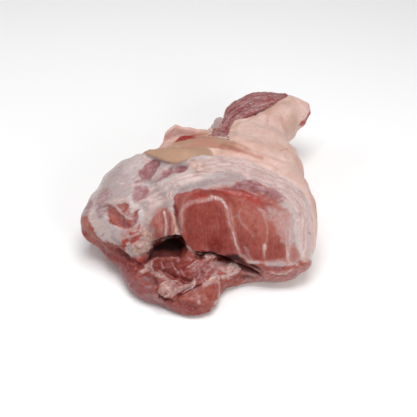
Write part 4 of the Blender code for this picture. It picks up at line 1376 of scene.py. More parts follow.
outward = (leg_places - BODY_MIDDLE) / BODY_REACH
outward /= np.linalg.norm(outward, axis=1)[:, None]
body_rule = (BODY_EDGE - outward @ MEAT_SIDE) * BODY_SHARP + wander(0.02, 1.0) * EDGE_WANDER
shank_axis = SHANK_TIP - SHANK_START
along_shank = (leg_places - SHANK_START) @ shank_axis / (shank_axis @ shank_axis)
from_axis = leg_places - (SHANK_START + along_shank[:, None] * shank_axis)
from_axis /= np.linalg.norm(from_axis, axis=1)[:, None] + 1e-9
more_rind = MORE_RIND_AT_ROOT * (1 - step_up(along_shank, *SHANK_ROOT))
more_rind += MORE_RIND_AT_TIP * step_up(along_shank, *SHANK_END)
shank_rule = (SHANK_EDGE + more_rind - from_axis @ SHANK_MEAT_SIDE) * SHANK_SHARP
shank_rule += wander(0.015, 2.0) * EDGE_WANDER
on_shank = step_up(along_shank, *SHANK_BEGINS)
hidden_rind = blend(body_rule, shank_rule, on_shank)
behind_lip = step_up(inside(BEHIND_LIP, 0.3), -2, 2)
under_shank = step_up(inside(UNDER_SHANK, 0.3), -1.5, 1.5)
hidden_rind = blend(hidden_rind, ALL_RIND, behind_lip)
hidden_rind = blend(hidden_rind, ALL_MEAT, under_shank)
rind = blend(hidden_rind, rind, seen)
paint["rind"] = np.clip(0.5 + rind / RIND_SOFT, 0, 1)
hidden = 1 - seen
low_down = 1 - step_up(leg_places[:, 2] + wander(0.02, 13.0) * LEVEL_WANDER, *BODY_MEAT_LEVEL)
shank_meat = on_shank * step_up(-hidden_rind, *SHANK_MEAT_FROM)
hidden_meat = np.maximum(step_up(-hidden_rind, *BODY_MEAT_FROM) * low_down, shank_meat)
hidden_fat = step_up(-hidden_rind, *FAT_FROM) * (1 - step_up(-hidden_rind, *FAT_TO))
hidden_fat *= 1 - on_shank * LESS_FAT_ON_SHANK
for tissue in TISSUES[1:]:
    paint[tissue] *= seen

# ---------------------------------------------------------------------------------------------
# The valley between the lip and the flap that stands behind it. Its floor is hidden, so it
# carries on the tan fat and the blood stain that show on its two sides.
VALLEY_STAIN = np.array((-0.019, -0.001))
STAIN_REACH = (0.014, 0.020)
STAIN_WANDER = 0.15
STAIN_EDGE = (0.8, 1.1)
VALLEY_SLANT = 0.12
VALLEY_MIDDLE = (-0.004, 0.001)
VALLEY_BACK = (0.010, 0.015)
VALLEY_LEVEL = (0.078, 0.090)
VALLEY_UNSEEN = (0.1, 0.6)
VALLEY_FACES_UP = (0.15, 0.45)
VALLEY_TAN = 0.85
VALLEY_BLUSH = 0.4
up_slope = leg_places[:, 1] - VALLEY_SLANT * leg_places[:, 0]
this_side = 1 - step_up(up_slope, *VALLEY_BACK)
high_up = step_up(leg_places[:, 2], *VALLEY_LEVEL)
in_valley = behind_lip * step_up(hidden, *VALLEY_UNSEEN) * this_side
in_valley *= step_up(leg_normals[:, 2], *VALLEY_FACES_UP) * high_up
from_stain = np.linalg.norm((leg_places[:, :2] - VALLEY_STAIN) / STAIN_REACH, axis=1)
from_stain += wander(0.006, 15.0) * STAIN_WANDER
at_least("tan", in_valley * VALLEY_TAN)
at_least("blush", in_valley * VALLEY_BLUSH)
far_side = behind_lip * step_up(up_slope, *VALLEY_MIDDLE) * this_side * high_up
at_least("blood", np.maximum(in_valley, far_side) * (1 - step_up(from_stain, *STAIN_EDGE)))

# ---------------------------------------------------------------------------------------------
# What covers the hidden sides: bare meat in clouds of darker meat, film and mauve, and a margin
# of fat by the rind. Every deep crevice gets painted shade as a deeper red, and a hidden one is
# bare and darkened further by painted shade.
TUCKED = (0.25, 0.55)
SHADED_CREVICE = (0.2, 0.7)
tucked = step_up(crevice, *TUCKED) * hidden
paint["bare"] += hidden * hidden_meat
paint["deep"] += hidden * hidden_meat * 0.7 * step_up(wander(0.016, 17.0), -0.2, 0.6)
film_clouds = wander(0.009, 19.0) + wander(0.03, 29.0) * 0.5
paint["film"] += hidden * hidden_meat * 0.6 * step_up(film_clouds, 0.25, 0.8)
paint["fat"] += hidden * hidden_fat
paint["mauve"] += hidden * 0.4 * step_up(wander(0.018, 11.0), 0.1, 0.5)
for tissue in ("rind", "fat", "mauve", "grey"):
    paint[tissue] *= 1 - tucked
at_least("bare", tucked)
# Painted shade in crevices: a deeper red in every one, near black in hidden ones.
at_least("deep", step_up(crevice, *SHADED_CREVICE))
at_least("shade", tucked * 0.55)

# ---------------------------------------------------------------------------------------------
# Fine lumps everywhere, and coarser ones on crumbled fat and on the flap. All the relief is then
# given to the mesh at once, along the way that its surface faces.
HEAP_SIZE = 0.0042
HEAP_HEIGHT = 0.0032
HEAP_MIDDLE = 0.45
HIDDEN_RELIEF = 0.35
crumbly = np.maximum(paint["fat"] * paint["cream"], paint["blood"] * 0.5)
height += wander(0.012, 21.0) * 0.00035 + wander(0.005, 23.0) * 0.00016
height += crumbly * wander(0.0035, 25.0) * 0.0010
cells = np.array([noise.voronoi(Vector(place) / HEAP_SIZE)[0][0] for place in leg_places])
heaped = spread(np.maximum(paint["fat"] * paint["cream"], paint["torn"] * 0.35), 2)
height += heaped * (HEAP_MIDDLE - cells) * HEAP_HEIGHT
flap_share = step_up(inside(FLAP, 0), -2, 6) * seen
height += flap_share * (wander(0.009, 27.0) * 0.0010 + wander(0.004, 29.0) * 0.0004)
height = height * np.maximum(seen, HIDDEN_RELIEF)

leg_places = leg_places + leg_normals * spread(height, 1)[:, None]
move_leg(leg_places)

# ---------------------------------------------------------------------------------------------
# The way that fibres run: round the lean face in the band, up and down it in the lean, and
# along the shank and the lobe elsewhere. It is kept as millimetres across and along them.
MM_A_PIXEL = 1.18
MM_IN_METRE = 1000
ROUND_THE_FACE = 80
LEAN_SLANT = 0.12
LOBE_ACROSS = (0.50, 0.87)
LOBE_ALONG = (0.87, -0.50)
HIDDEN_ACROSS = (0, 0.6, 0.8)
HIDDEN_ALONG = (1, 0, 0)
FACE_CENTRE = np.array((236, 225))
FLOWS_MEET = np.array((167, 188))
BAND_FROM = (158, 176)
BAND_TO = (196, 216)
BAND_TURNS_DOWN = 262
LEAN_EDGE = (-1, 2)
CALM = 0.65
reach = -inside(LEAN_FACE, 0)
from_middle = leg_pixels - FACE_CENTRE
turn = np.arctan2(from_middle[:, 0], -from_middle[:, 1])
band_flow = np.stack([reach * MM_A_PIXEL, turn * ROUND_THE_FACE], axis=1)
lean_across = leg_pixels[:, 0] - LEAN_SLANT * leg_pixels[:, 1]
lean_flow = np.stack([lean_across, leg_pixels[:, 1]], axis=1) * MM_A_PIXEL
slant_flow = np.stack([leg_pixels @ LOBE_ACROSS, leg_pixels @ LOBE_ALONG], axis=1) * MM_A_PIXEL
meeting_point = np.argmin(np.linalg.norm(leg_pixels - FLOWS_MEET, axis=1) + hidden * PHOTO_SIDE)
slant_flow += band_flow[meeting_point] - slant_flow[meeting_point]
hidden_flow = np.stack([leg_places @ HIDDEN_ACROSS, leg_places @ HIDDEN_ALONG], axis=1) * MM_IN_METRE
below_band = leg_pixels[:, 1] - 3 * np.maximum(leg_pixels[:, 0] - BAND_TURNS_DOWN, 0)
in_band = step_up(leg_pixels[:, 0], *BAND_FROM) * (1 - step_up(below_band, *BAND_TO))
in_lean = 1 - step_up(reach, *LEAN_EDGE)
flow = blend(slant_flow, band_flow, in_band[:, None])
flow = blend(flow, lean_flow, in_lean[:, None])
flow = np.where(seen[:, None] > 0.5, flow, hidden_flow)


def keep(mesh, name, values):
    """Stores a value for every point of the mesh, for a finish or a tree of nodes to read."""
    layer = mesh.attributes.new(name, "FLOAT", "POINT")
    layer.data.foreach_set("value", np.asarray(values, dtype=np.float32))


for tissue, values in paint.items():
    keep(leg.data, tissue, np.clip(values, 0, 1))
calm = np.maximum(in_lean, hidden)
for outline in (PANEL, LEFT_EDGE, FLAP_RIM, UNDER_FACE, BULGE):
    calm = np.maximum(calm, step_up(inside(outline), -2, 2))
keep(leg.data, "ragged", 1 - CALM * calm)
keep(leg.data, "across", flow[:, 0])
keep(leg.data, "along", flow[:, 1])

# ---------------------------------------------------------------------------------------------
# The finish of the leg: raw tissue, moist and a little see-through. Each tissue is a colour that
# varies along the fibres and in soft clouds, laid over the last one where its cover says. Painted
# shade goes over them all at the end.


class Nodes:
    """Adds nodes to one tree. An input is a value or another node's socket."""

    def __init__(self, tree):
        self.tree = tree

    def add(self, kind, settings=None, inputs=None):
        made = self.tree.nodes.new(kind)
        for name, value in (settings or {}).items():
            setattr(made, name, value)
        for name, value in (inputs or {}).items():
            if isinstance(value, bpy.types.NodeSocket):
                self.tree.links.new(value, made.inputs[name])
            else:
                made.inputs[name].default_value = value
        return made

    def attribute(self, name):
        return self.add("ShaderNodeAttribute", {"attribute_name": name}).outputs["Fac"]

    def mix(self, factor, first, second):
        made = self.add("ShaderNodeMix", {"data_type": "RGBA"}, {0: factor, 6: first, 7: second})
        return made.outputs[2]

    def ramp(self, value, low, high, low_to=0.0, high_to=1.0):
        made = self.add("ShaderNodeMapRange", {"interpolation_type": "SMOOTHSTEP"}, {
            "Value": value, "From Min": low, "From Max": high, "To Min": low_to, "To Max": high_to})
        return made.outputs["Result"]

    def math(self, operation, first, second=0.0):
        return self.add("ShaderNodeMath", {"operation": operation}, {0: first, 1: second}).outputs[0]

    def times(self, first, second):
        return self.math("MULTIPLY", first, second)

    def scaled(self, vector, factor):
        made = self.add("ShaderNodeVectorMath", {"operation": "SCALE"}, {0: vector, "Scale": factor})
        return made.outputs["Vector"]

    def clouds(self, vector, scale, detail=2.0, rough=0.5, twist=0.0):
        made = self.add("ShaderNodeTexNoise", None, {
            "Vector": vector, "Scale": scale, "Detail": detail, "Roughness": rough, "Distortion": twist})
        return made.outputs["Fac"]


def new_group(name, inputs, outputs, tree_kind="ShaderNodeTree"):
    """An empty node group; each input and output gives (name, kind) or (name, kind, value)."""
    group = bpy.data.node_groups.new(name, tree_kind)
    for label, kind, *value in inputs:
        socket = group.interface.new_socket(name=label, in_out="INPUT", socket_type=kind)
        if value:
            socket.default_value = value[0]
    for label, kind in outputs:
        group.interface.new_socket(name=label, in_out="OUTPUT", socket_type=kind)
    nodes = Nodes(group)
    return group, nodes, nodes.add("NodeGroupInput").outputs, nodes.add("NodeGroupOutput").inputs


# Tissue grain: soft clouds, patches, fine speckle, thin pale webs, and streaks along the fibres.
tissue_grain, nodes, given, result = new_group("tissue_grain", (
    ("Place", "NodeSocketVector"), ("Fibre", "NodeSocketVector"),
    ("Streak Height", "NodeSocketFloat", 0.6),
), (
    ("Clouds", "NodeSocketFloat"), ("Patches", "NodeSocketFloat"), ("Speckle", "NodeSocketFloat"),
    ("Web", "NodeSocketFloat"), ("Streaks", "NodeSocketFloat"), ("Hairs", "NodeSocketFloat"),
    ("Height", "NodeSocketFloat"),
))
bent = nodes.add("ShaderNodeVectorMath", {"operation": "MULTIPLY_ADD"}, {
    0: nodes.add("ShaderNodeTexNoise", None, {"Vector": given["Place"], "Scale": 60.0}).outputs["Color"],
    1: (6.0, 6.0, 0.0), 2: given["Fibre"]}).outputs["Vector"]
ridge = nodes.math("SUBTRACT", nodes.clouds(given["Place"], 150.0, 2.0, 0.5, 1.0), 0.5)
ridge = nodes.math("ABSOLUTE", ridge)
made = {
    "Clouds": nodes.clouds(given["Place"], 55.0, 3.0, 0.55, 0.5),
    "Patches": nodes.clouds(given["Place"], 200.0, 3.0, 0.55, 0.5),
    "Speckle": nodes.clouds(given["Place"], 900.0, 3.0, 0.7),
    "Web": nodes.ramp(ridge, 0.004, 0.035, 1.0, 0.0),
    "Streaks": nodes.clouds(bent, 0.42, 4.0, 0.62),
    "Hairs": nodes.clouds(bent, 1.6, 3.0, 0.6),
}
streak_height = nodes.times(made["Streaks"], given["Streak Height"])
made["Height"] = nodes.math("ADD", streak_height, nodes.times(made["Speckle"], 0.35))
for label, socket in made.items():
    nodes.tree.links.new(socket, result[label])

leg_paint, tree, shader = new_material("raw_leg")
nodes = Nodes(tree)
place = nodes.add("ShaderNodeTexCoord").outputs["Object"]
fibre = nodes.add("ShaderNodeCombineXYZ", None, {
    "X": nodes.attribute("across"), "Y": nodes.times(nodes.attribute("along"), 0.10)}).outputs["Vector"]
grain = nodes.add("ShaderNodeGroup", {"node_tree": tissue_grain}, {
    "Place": place, "Fibre": fibre, "Streak Height": nodes.times(nodes.attribute("ragged"), 0.6),
}).outputs

LEAN = (0.325, 0.075, 0.058, 1)
LEAN_DEEP = (0.170, 0.014, 0.010, 1)
LEAN_WARM = (0.385, 0.115, 0.084, 1)
FILM = (0.430, 0.225, 0.200, 1)
SILVER = (0.420, 0.325, 0.318, 1)
SILVER_WHITE = (0.525, 0.445, 0.430, 1)
SILVER_GREY = (0.335, 0.258, 0.255, 1)
MAUVE = (0.250, 0.085, 0.090, 1)
MAUVE_PALE = (0.340, 0.180, 0.190, 1)
FAT = (0.435, 0.285, 0.265, 1)
FAT_PALE = (0.585, 0.445, 0.418, 1)
CREAM = (0.560, 0.340, 0.245, 1)
BLOOD = (0.330, 0.040, 0.030, 1)
SKIN = (0.600, 0.392, 0.338, 1)
SKIN_PALE = (0.655, 0.462, 0.410, 1)
SKIN_TAN = (0.400, 0.235, 0.150, 1)
SKIN_BLUSH = (0.470, 0.200, 0.150, 1)
# The colour of painted shade.
DARK = (0.012, 0.001, 0.001, 1)

broken = nodes.math("ADD", grain["Patches"], grain["Streaks"])
broken = nodes.math("ADD", broken, nodes.times(grain["Speckle"], 0.5))
broken = nodes.math("SUBTRACT", broken, 1.25)


def worn(name, most=1.0, amount=1.2, low=0.20, high=0.80):
    """A tissue's cover, its edge broken up by the patches, the streaks and the speckle."""
    shift = nodes.times(nodes.times(broken, amount), nodes.attribute("ragged"))
    cover = nodes.ramp(nodes.math("ADD", nodes.attribute(name), shift), low, high)
    return nodes.times(cover, most)


def share(name, most):
    """A tissue's cover as it is stored, up to so much."""
    return nodes.times(nodes.attribute(name), most)


def spots(source, low, high, most):
    """Spots where one part of the grain is high, up to so much."""
    return nodes.times(nodes.ramp(grain[source], low, high), most)


def on_torn(factor):
    """The factor, kept to torn meat."""
    return nodes.times(nodes.times(factor, nodes.attribute("torn")), nodes.attribute("ragged"))


silver = nodes.mix(nodes.ramp(grain["Clouds"], 0.40, 0.60), SILVER, SILVER_WHITE)
silver = nodes.mix(spots("Patches", 0.44, 0.62, 0.55), silver, SILVER_WHITE)
silver = nodes.mix(spots("Streaks", 0.50, 0.62, 0.40), silver, SILVER_GREY)
silver = nodes.mix(spots("Hairs", 0.52, 0.66, 0.30), silver, MAUVE_PALE)
silver = nodes.mix(share("grey", 0.8), silver, SILVER_GREY)
silver = nodes.mix(nodes.times(grain["Web"], 0.35), silver, SILVER_WHITE)
lean = nodes.mix(nodes.attribute("warm"), LEAN, LEAN_WARM)
lean = nodes.mix(nodes.attribute("deep"), lean, LEAN_DEEP)
lean = nodes.mix(spots("Streaks", 0.5, 0.66, 0.17), lean, FILM)
lean = nodes.mix(nodes.ramp(grain["Streaks"], 0.34, 0.47, 0.08, 0.0), lean, LEAN_DEEP)
lean = nodes.mix(spots("Patches", 0.50, 0.66, 0.35), lean, LEAN_DEEP)
lean = nodes.mix(nodes.ramp(grain["Patches"], 0.36, 0.46, 0.30, 0.0), lean, LEAN_WARM)
lean = nodes.mix(spots("Speckle", 0.48, 0.70, 0.40), lean, LEAN_DEEP)
lean = nodes.mix(spots("Clouds", 0.48, 0.62, 0.25), lean, LEAN_DEEP)
colour = nodes.mix(worn("bare", 1.0, 0.8), silver, lean)
film = nodes.mix(spots("Patches", 0.45, 0.62, 0.7), FILM, SILVER)
colour = nodes.mix(worn("film", 0.85), colour, film)
fat = nodes.mix(nodes.ramp(grain["Streaks"], 0.42, 0.58), FAT, FAT_PALE)
fat = nodes.mix(spots("Patches", 0.46, 0.62, 0.40), fat, FAT_PALE)
fat = nodes.mix(spots("Hairs", 0.53, 0.66, 0.35), fat, SKIN_BLUSH)
fat = nodes.mix(share("cream", 0.9), fat, CREAM)
colour = nodes.mix(worn("fat", 0.95), colour, fat)
pale_spots = nodes.times(spots("Patches", 0.44, 0.60, 0.8), nodes.attribute("ragged"))
mauve = nodes.mix(pale_spots, MAUVE, MAUVE_PALE)
colour = nodes.mix(worn("mauve", 0.95), colour, mauve)
colour = nodes.mix(worn("blood", 1.0, 1.0), colour, BLOOD)
colour = nodes.mix(on_torn(spots("Clouds", 0.50, 0.62, 0.35)), colour, LEAN_DEEP)
colour = nodes.mix(on_torn(nodes.times(grain["Web"], 0.22)), colour, FILM)
colour = nodes.mix(on_torn(spots("Speckle", 0.58, 0.68, 0.25)), colour, FAT_PALE)
skin = nodes.mix(nodes.ramp(grain["Clouds"], 0.35, 0.65), SKIN, SKIN_PALE)
skin = nodes.mix(spots("Patches", 0.48, 0.68, 0.25), skin, SKIN_BLUSH)
skin = nodes.mix(nodes.attribute("tan"), skin, SKIN_TAN)
skin = nodes.mix(share("blush", 0.9), skin, SKIN_BLUSH)
skin = nodes.mix(worn("blood", 1.0, 0.6, 0.2, 0.9), skin, BLOOD)
colour = nodes.mix(nodes.ramp(nodes.attribute("rind"), 0.44, 0.56), colour, skin)
# Painted shade goes on last, by the shade cover.
colour = nodes.mix(nodes.attribute("shade"), colour, DARK)
tree.links.new(colour, shader.inputs["Base Color"])
rough = nodes.ramp(nodes.attribute("rind"), 0.45, 0.55, 0.22, 0.46)
rough = nodes.math("ADD", rough, nodes.times(grain["Patches"], 0.15))
tree.links.new(nodes.math("ADD", rough, share("shade", 0.5)), shader.inputs["Roughness"])
bump = nodes.add("ShaderNodeBump", None, {
    "Strength": 0.4, "Distance": 0.0008, "Height": grain["Height"]})
tree.links.new(bump.outputs["Normal"], shader.inputs["Normal"])
shader.inputs["Specular IOR Level"].default_value = 0.30
shader.inputs["Subsurface Weight"].default_value = 0.12
shader.inputs["Subsurface Radius"].default_value = (1.0, 0.35, 0.25)
shader.inputs["Subsurface Scale"].default_value = 0.003
leg.data.materials.append(leg_paint)
leg.data.shade_smooth()
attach(leg, "root")
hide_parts("pork_leg")

# ---------------------------------------------------------------------------------------------
# Crumbled fat: where the bone, the kidney fat and the flap were pulled away, the fat broke into
# crumbs a few millimetres across. Each heap is scattered over its own part of the leg's surface.
CRUMB_SIZE = 0.0028
CRUMBS_PER_AREA = 125000.0
RIGHT_CRUMBS = ((226, 263), (232, 262), (238, 265), (242, 269), (236, 273), (228, 271))
UPPER_CRUMBS = ((141, 243), (143, 234), (149, 231), (154, 237), (152, 242))
CUT_CRUMBS = ((128, 236), (130, 230), (138, 227), (143, 230), (138, 236))


def geometry_group(name, inputs):
    """An empty Geometry Nodes tree with these inputs beside the geometry that it works on."""
    geometry = ("Geometry", "NodeSocketGeometry")
    return new_group(name, (geometry, *inputs), (geometry,), "GeometryNodeTree")


def finish_pieces(nodes, given, result, pieces, lump_scale, lump):
    """The end of a tree: real mesh, moved in fine lumps, shaded smooth and given its finish."""
    real = nodes.add("GeometryNodeRealizeInstances", None, {"Geometry": pieces}).outputs["Geometry"]
    lumps = nodes.add("ShaderNodeTexNoise", None, {
        "Vector": nodes.add("GeometryNodeInputPosition").outputs[0], "Scale": lump_scale, "Detail": 2.0})
    centred = nodes.add("ShaderNodeVectorMath", {"operation": "SUBTRACT"}, {
        0: lumps.outputs["Color"], 1: (0.5, 0.5, 0.5)}).outputs["Vector"]
    moved = nodes.add("GeometryNodeSetPosition", None, {
        "Geometry": real, "Offset": nodes.scaled(centred, nodes.times(lump, 4.0))}).outputs["Geometry"]
    smooth = nodes.add("GeometryNodeSetShadeSmooth", None, {"Geometry": moved, "Shade Smooth": True})
    finished = nodes.add("GeometryNodeSetMaterial", None, {
        "Geometry": smooth.outputs["Geometry"], "Material": given["Finish"]})
    nodes.tree.links.new(finished.outputs["Geometry"], result["Geometry"])


def grow(obj, group, values):
    """Runs a Geometry Nodes tree on the object, with these input values, and keeps the mesh."""
    modifier = obj.modifiers.new(group.name, "NODES")
    modifier.node_group = group
    for item in group.interface.items_tree:
        if item.item_type == "SOCKET" and item.in_out == "INPUT" and item.name in values:
            modifier[item.identifier] = values[item.name]
    settle(obj)


def dress(obj):
    """Hangs a small piece of the leg under the root body, and hides the imported solid."""
    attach(obj, "root")
    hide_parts("pork_leg")


crumb_tree, nodes, given, result = geometry_group("crumbled", (
    ("Per Square Metre", "NodeSocketFloat", 1e5), ("Size", "NodeSocketFloat", 0.001),
    ("Smallest", "NodeSocketVector", (0.5, 0.4, 0.4)), ("Largest", "NodeSocketVector", (1.4, 1.0, 0.7)),
    ("Sunk", "NodeSocketFloat", 0.0), ("Roughness", "NodeSocketFloat", 0.0006),
    ("Tilt", "NodeSocketFloat", 3.0), ("Seed", "NodeSocketInt", 1), ("Finish", "NodeSocketMaterial"),
))
heap = nodes.add("GeometryNodeInputNamedAttribute", {"data_type": "FLOAT"}, {"Name": "heap"})
crowd = nodes.times(given["Per Square Metre"], heap.outputs["Attribute"])
scattered = nodes.add("GeometryNodeDistributePointsOnFaces", {"distribute_method": "RANDOM"}, {
    "Mesh": given["Geometry"], "Seed": given["Seed"], "Density": crowd}).outputs
size = nodes.add("FunctionNodeRandomValue", {"data_type": "FLOAT_VECTOR"}, {
    "Min": given["Smallest"], "Max": given["Largest"], "Seed": given["Seed"]}).outputs["Value"]
tilt = nodes.add("FunctionNodeRandomValue", {"data_type": "FLOAT_VECTOR"}, {
    "Min": nodes.scaled((-1.0, -1.0, -1.0), given["Tilt"]),
    "Max": nodes.scaled((1.0, 1.0, 1.0), given["Tilt"]), "Seed": 7}).outputs["Value"]
crumb = nodes.add("GeometryNodeMeshIcoSphere", None, {"Radius": given["Size"], "Subdivisions": 2})
turned = nodes.add("FunctionNodeRotateRotation", {"rotation_space": "LOCAL"}, {
    "Rotation": scattered["Rotation"], "Rotate By": tilt}).outputs["Rotation"]
inwards = nodes.scaled(scattered["Normal"], nodes.times(given["Sunk"], -1.0))
sunk = nodes.add("GeometryNodeSetPosition", None, {"Geometry": scattered["Points"], "Offset": inwards})
laid = nodes.add("GeometryNodeInstanceOnPoints", None, {
    "Points": sunk.outputs["Geometry"], "Instance": crumb.outputs["Mesh"], "Rotation": turned,
    "Scale": size}).outputs["Instances"]
finish_pieces(nodes, given, result, laid, 650.0, given["Roughness"])

leg_places, leg_normals = places_and_normals(leg)
visible = seen * (1 - step_up(paint["shade"], 0.3, 0.6))
crumb_heap = np.zeros(len(leg_places))
for outline, crowd in (
    (FAT_CRUMBS, 0.9), (UPPER_CRUMBS, 0.4), (RIDGE_LUMP, 0.2), (FLAP_FAT, 0.4), (KNOB, 0.6),
    (RIGHT_CRUMBS, 0.3), (CUT_CRUMBS, 0.3),
):
    crumb_heap = np.maximum(crumb_heap, step_up(inside(outline), -0.5, 2.5) * crowd)
crumb_heap = np.clip(crumb_heap * visible, 0, 1)

crumbs = bpy.data.objects.new("fat_crumbs", leg.data.copy())
SCENE.collection.objects.link(crumbs)
crumbs.data.materials.clear()
keep(crumbs.data, "heap", crumb_heap)
grow(crumbs, crumb_tree, {
    "Per Square Metre": CRUMBS_PER_AREA, "Size": CRUMB_SIZE, "Sunk": CRUMB_SIZE * 0.4,
    "Roughness": 0.0012, "Tilt": 0.7, "Seed": 4, "Finish": leg_paint,
})
dress(crumbs)

# ---------------------------------------------------------------------------------------------
# Sinews, seams and strands: tubes of gristle, web and muscle fibre that lie half sunk in the
# surface. Each follows a path on the leg, tapers at its ends and wanders a little.
surface = BVHTree.FromObject(leg, bpy.context.evaluated_depsgraph_get())


def on_leg(pixels, lift=0.0):
    """The places on the leg that the camera sees at these pixels of the photograph."""
    found = []
    for across, down in pixels:
        right = (across - PHOTO_SIDE / 2) * 2 * HALF_VIEW / PHOTO_SIDE
        up = (PHOTO_SIDE / 2 - down) * 2 * HALF_VIEW / PHOTO_SIDE
        sight = Vector((right, up, -1))
        sight = (camera.matrix_world.to_3x3() @ sight).normalized()
        place, normal, _, _ = surface.ray_cast(camera.location, sight)
        if place is not None:
            found.append(place + normal * lift)
    return found


def eased(path, count):
    """The path as so many points, evenly spaced along it and with its corners rounded."""
    path = np.array(path, dtype=float)
    lengths = np.concatenate([[0], np.cumsum(np.linalg.norm(np.diff(path, axis=0), axis=1))])
    steps = np.linspace(0, lengths[-1], count)
    points = np.stack([np.interp(steps, lengths, column) for column in path.T], axis=1)
    for _ in range(3):
        points[1:-1] = (points[:-2] + 2 * points[1:-1] + points[2:]) / 4
    return points


strand_tree, nodes, given, result = geometry_group("strand", (
    ("Sides", "NodeSocketInt", 6), ("Wander", "NodeSocketFloat", 0.0004),
    ("Finish", "NodeSocketMaterial"),
))
girth = nodes.add("GeometryNodeInputNamedAttribute", {"data_type": "FLOAT"}, {"Name": "girth"})
curve = nodes.add("GeometryNodeMeshToCurve", None, {"Mesh": given["Geometry"]}).outputs["Curve"]
ring = nodes.add("GeometryNodeCurvePrimitiveCircle", None, {"Resolution": given["Sides"], "Radius": 1.0})
tube = nodes.add("GeometryNodeCurveToMesh", None, {
    "Curve": curve, "Profile Curve": ring.outputs["Curve"], "Scale": girth.outputs["Attribute"],
    "Fill Caps": True}).outputs["Mesh"]
finish_pieces(nodes, given, result, tube, 400.0, given["Wander"])

SHANK_RED = (0.225, 0.045, 0.050, 1)
SHANK_MAUVE = (0.300, 0.105, 0.112, 1)
SHANK_PINK = (0.460, 0.250, 0.245, 1)
sinew_paint, tree, shader = new_material("sinew")
nodes = Nodes(tree)
place = nodes.add("ShaderNodeTexCoord").outputs["Object"]
grain = nodes.add("ShaderNodeGroup", {"node_tree": tissue_grain}, {
    "Place": place, "Fibre": place}).outputs
muscle = nodes.mix(nodes.ramp(grain["Clouds"], 0.42, 0.58), SHANK_RED, SHANK_MAUVE)
pale = nodes.mix(nodes.ramp(grain["Patches"], 0.42, 0.62), SHANK_PINK, FAT_PALE)
muscle = nodes.mix(nodes.attribute("white"), muscle, pale)
tree.links.new(muscle, shader.inputs["Base Color"])
tree.links.new(nodes.ramp(grain["Speckle"], 0.3, 0.7, 0.28, 0.45), shader.inputs["Roughness"])
shader.inputs["Specular IOR Level"].default_value = 0.35
shader.inputs["Subsurface Weight"].default_value = 0.10
shader.inputs["Subsurface Scale"].default_value = 0.002


def strands(name, paths, loose):
    """One piece of many strands. Each gives its places, its radius and how white it is, 0 to 1.

    Their surfaces stray from a round tube by about the length called loose.
    """
    places, links, girths, whites = [], [], [], []
    for path, radius, white in paths:
        share = np.linspace(0, 1, len(path))
        links += [(len(places) + step, len(places) + step + 1) for step in range(len(path) - 1)]
        places += [tuple(place) for place in path]
        girths += list(radius * (0.15 + 0.85 * np.sin(np.pi * share) ** 0.6))
        whites += [white] * len(path)
    mesh = bpy.data.meshes.new(name)
    mesh.from_pydata(places, links, [])
    keep(mesh, "girth", girths)
    keep(mesh, "white", whites)
    obj = bpy.data.objects.new(name, mesh)
    SCENE.collection.objects.link(obj)
    grow(obj, strand_tree, {"Sides": 6, "Wander": loose, "Finish": sinew_paint})
    dress(obj)


GUIDE_STEPS = 40


def between(first, last, count, jitter, seed):
    """So many pixel paths from one guide path to another, each a random part of its way."""
    draw_random = np.random.default_rng(seed)
    first, last = eased(first, GUIDE_STEPS), eased(last, GUIDE_STEPS)
    for index in range(count):
        share = (index + draw_random.uniform(-0.5, 0.5)) / (count - 1)
        start, end = sorted(draw_random.uniform(0, 1, 2))
        start, end = start * 0.5, min(1.0, end * 0.5 + 0.55)
        rows = slice(int(start * (GUIDE_STEPS - 1)), int(end * (GUIDE_STEPS - 1)) + 1)
        line = blend(first[rows], last[rows], share)
        bend = draw_random.normal(0, jitter, (4, 2))
        yield line + eased(bend, len(line))


STEP_PIXELS = 1.2


def sinews(paths, radius, white, sink_share=0.35):
    """Strands along pixel paths: the places on the leg, the radius and the whiteness of each."""
    for path in paths:
        length = np.linalg.norm(np.diff(np.array(path, dtype=float), axis=0), axis=1).sum()
        places = on_leg(eased(path, max(5, int(length / STEP_PIXELS))), -radius * sink_share)
        if len(places) > 3:
            yield places, radius, white


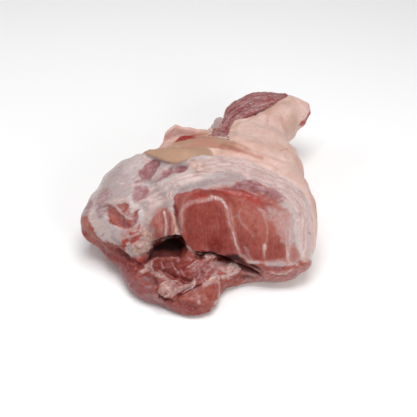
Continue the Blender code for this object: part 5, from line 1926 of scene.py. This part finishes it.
strands("face_seams", [
    *sinews([SEAM[:6]], 0.0011, 0.9, 0.6),
    *sinews([SEAM[5:9]], 0.0006, 0.4, 0.8),
    *sinews([SEAM[8:]], 0.0008, 0.8, 0.6),
    *sinews([LEFT_SEAM], 0.0006, 0.4, 0.9),
    *sinews(FACE_STREAKS.values(), 0.0004, 0.5, 0.8),
], 0.0003)

THIN_WEBS = ("lobe", "middle", "right", "strand", "strand_low", "fold")
RIDGE_SINEW = ((192, 290), (194, 285), (195, 280), (193.5, 278))
PANEL_SINEW = ((182, 293), (188, 290), (193, 286), (197, 284))
NECK_SINEWS = (
    ((217, 137), (222, 139), (227, 137), (231, 134)),
    ((220, 136), (226, 139), (230, 140)),
)
strands("flap_webs", [
    *sinews([FLAP_WEB[name] for name in THIN_WEBS], 0.0006, 0.55, 0.5),
    *sinews([FLAP_WEB["rim"][:4], FLAP_WEB["rim"][4:]], 0.0006, 0.45, 0.6),
    *sinews([TENDON], 0.0011, 1.0),
    *sinews([RIDGE_SINEW], 0.0013, 0.85, -0.6),
    *sinews([PANEL_SINEW], 0.0010, 0.7, 0.0),
    *sinews(NECK_SINEWS, 0.0008, 1.0, -0.5),
], 0.0005)

SHANK_OUTER = ((284, 94), (262, 93), (247, 96.5), (236, 104.5), (227, 113), (221, 124), (212, 134))
SHANK_INNER = ((279, 101.5), (268, 107), (256, 112), (244, 116), (236, 117.5), (230, 125), (228, 135))
THICK_STRANDS = 34
FINE_STRANDS = 10
draw_random = np.random.default_rng(31)
shank_strands = []
for path in between(SHANK_OUTER, SHANK_INNER, THICK_STRANDS, 0.9, 33):
    radius = draw_random.uniform(0.0008, 0.0022)
    white = draw_random.uniform(0.0, 0.8) ** 2
    shank_strands += sinews([path], radius, white, draw_random.uniform(0.35, 0.75))
for path in between(SHANK_OUTER, SHANK_INNER, FINE_STRANDS, 1.2, 35):
    radius = draw_random.uniform(0.0004, 0.0008)
    shank_strands += sinews([path], radius, draw_random.uniform(0.6, 0.9), 0.0)
strands("shank_strands", shank_strands, 0.0005)

# ---------------------------------------------------------------------------------------------
# At the end the view layer is brought up to date.
bpy.context.view_layer.update()
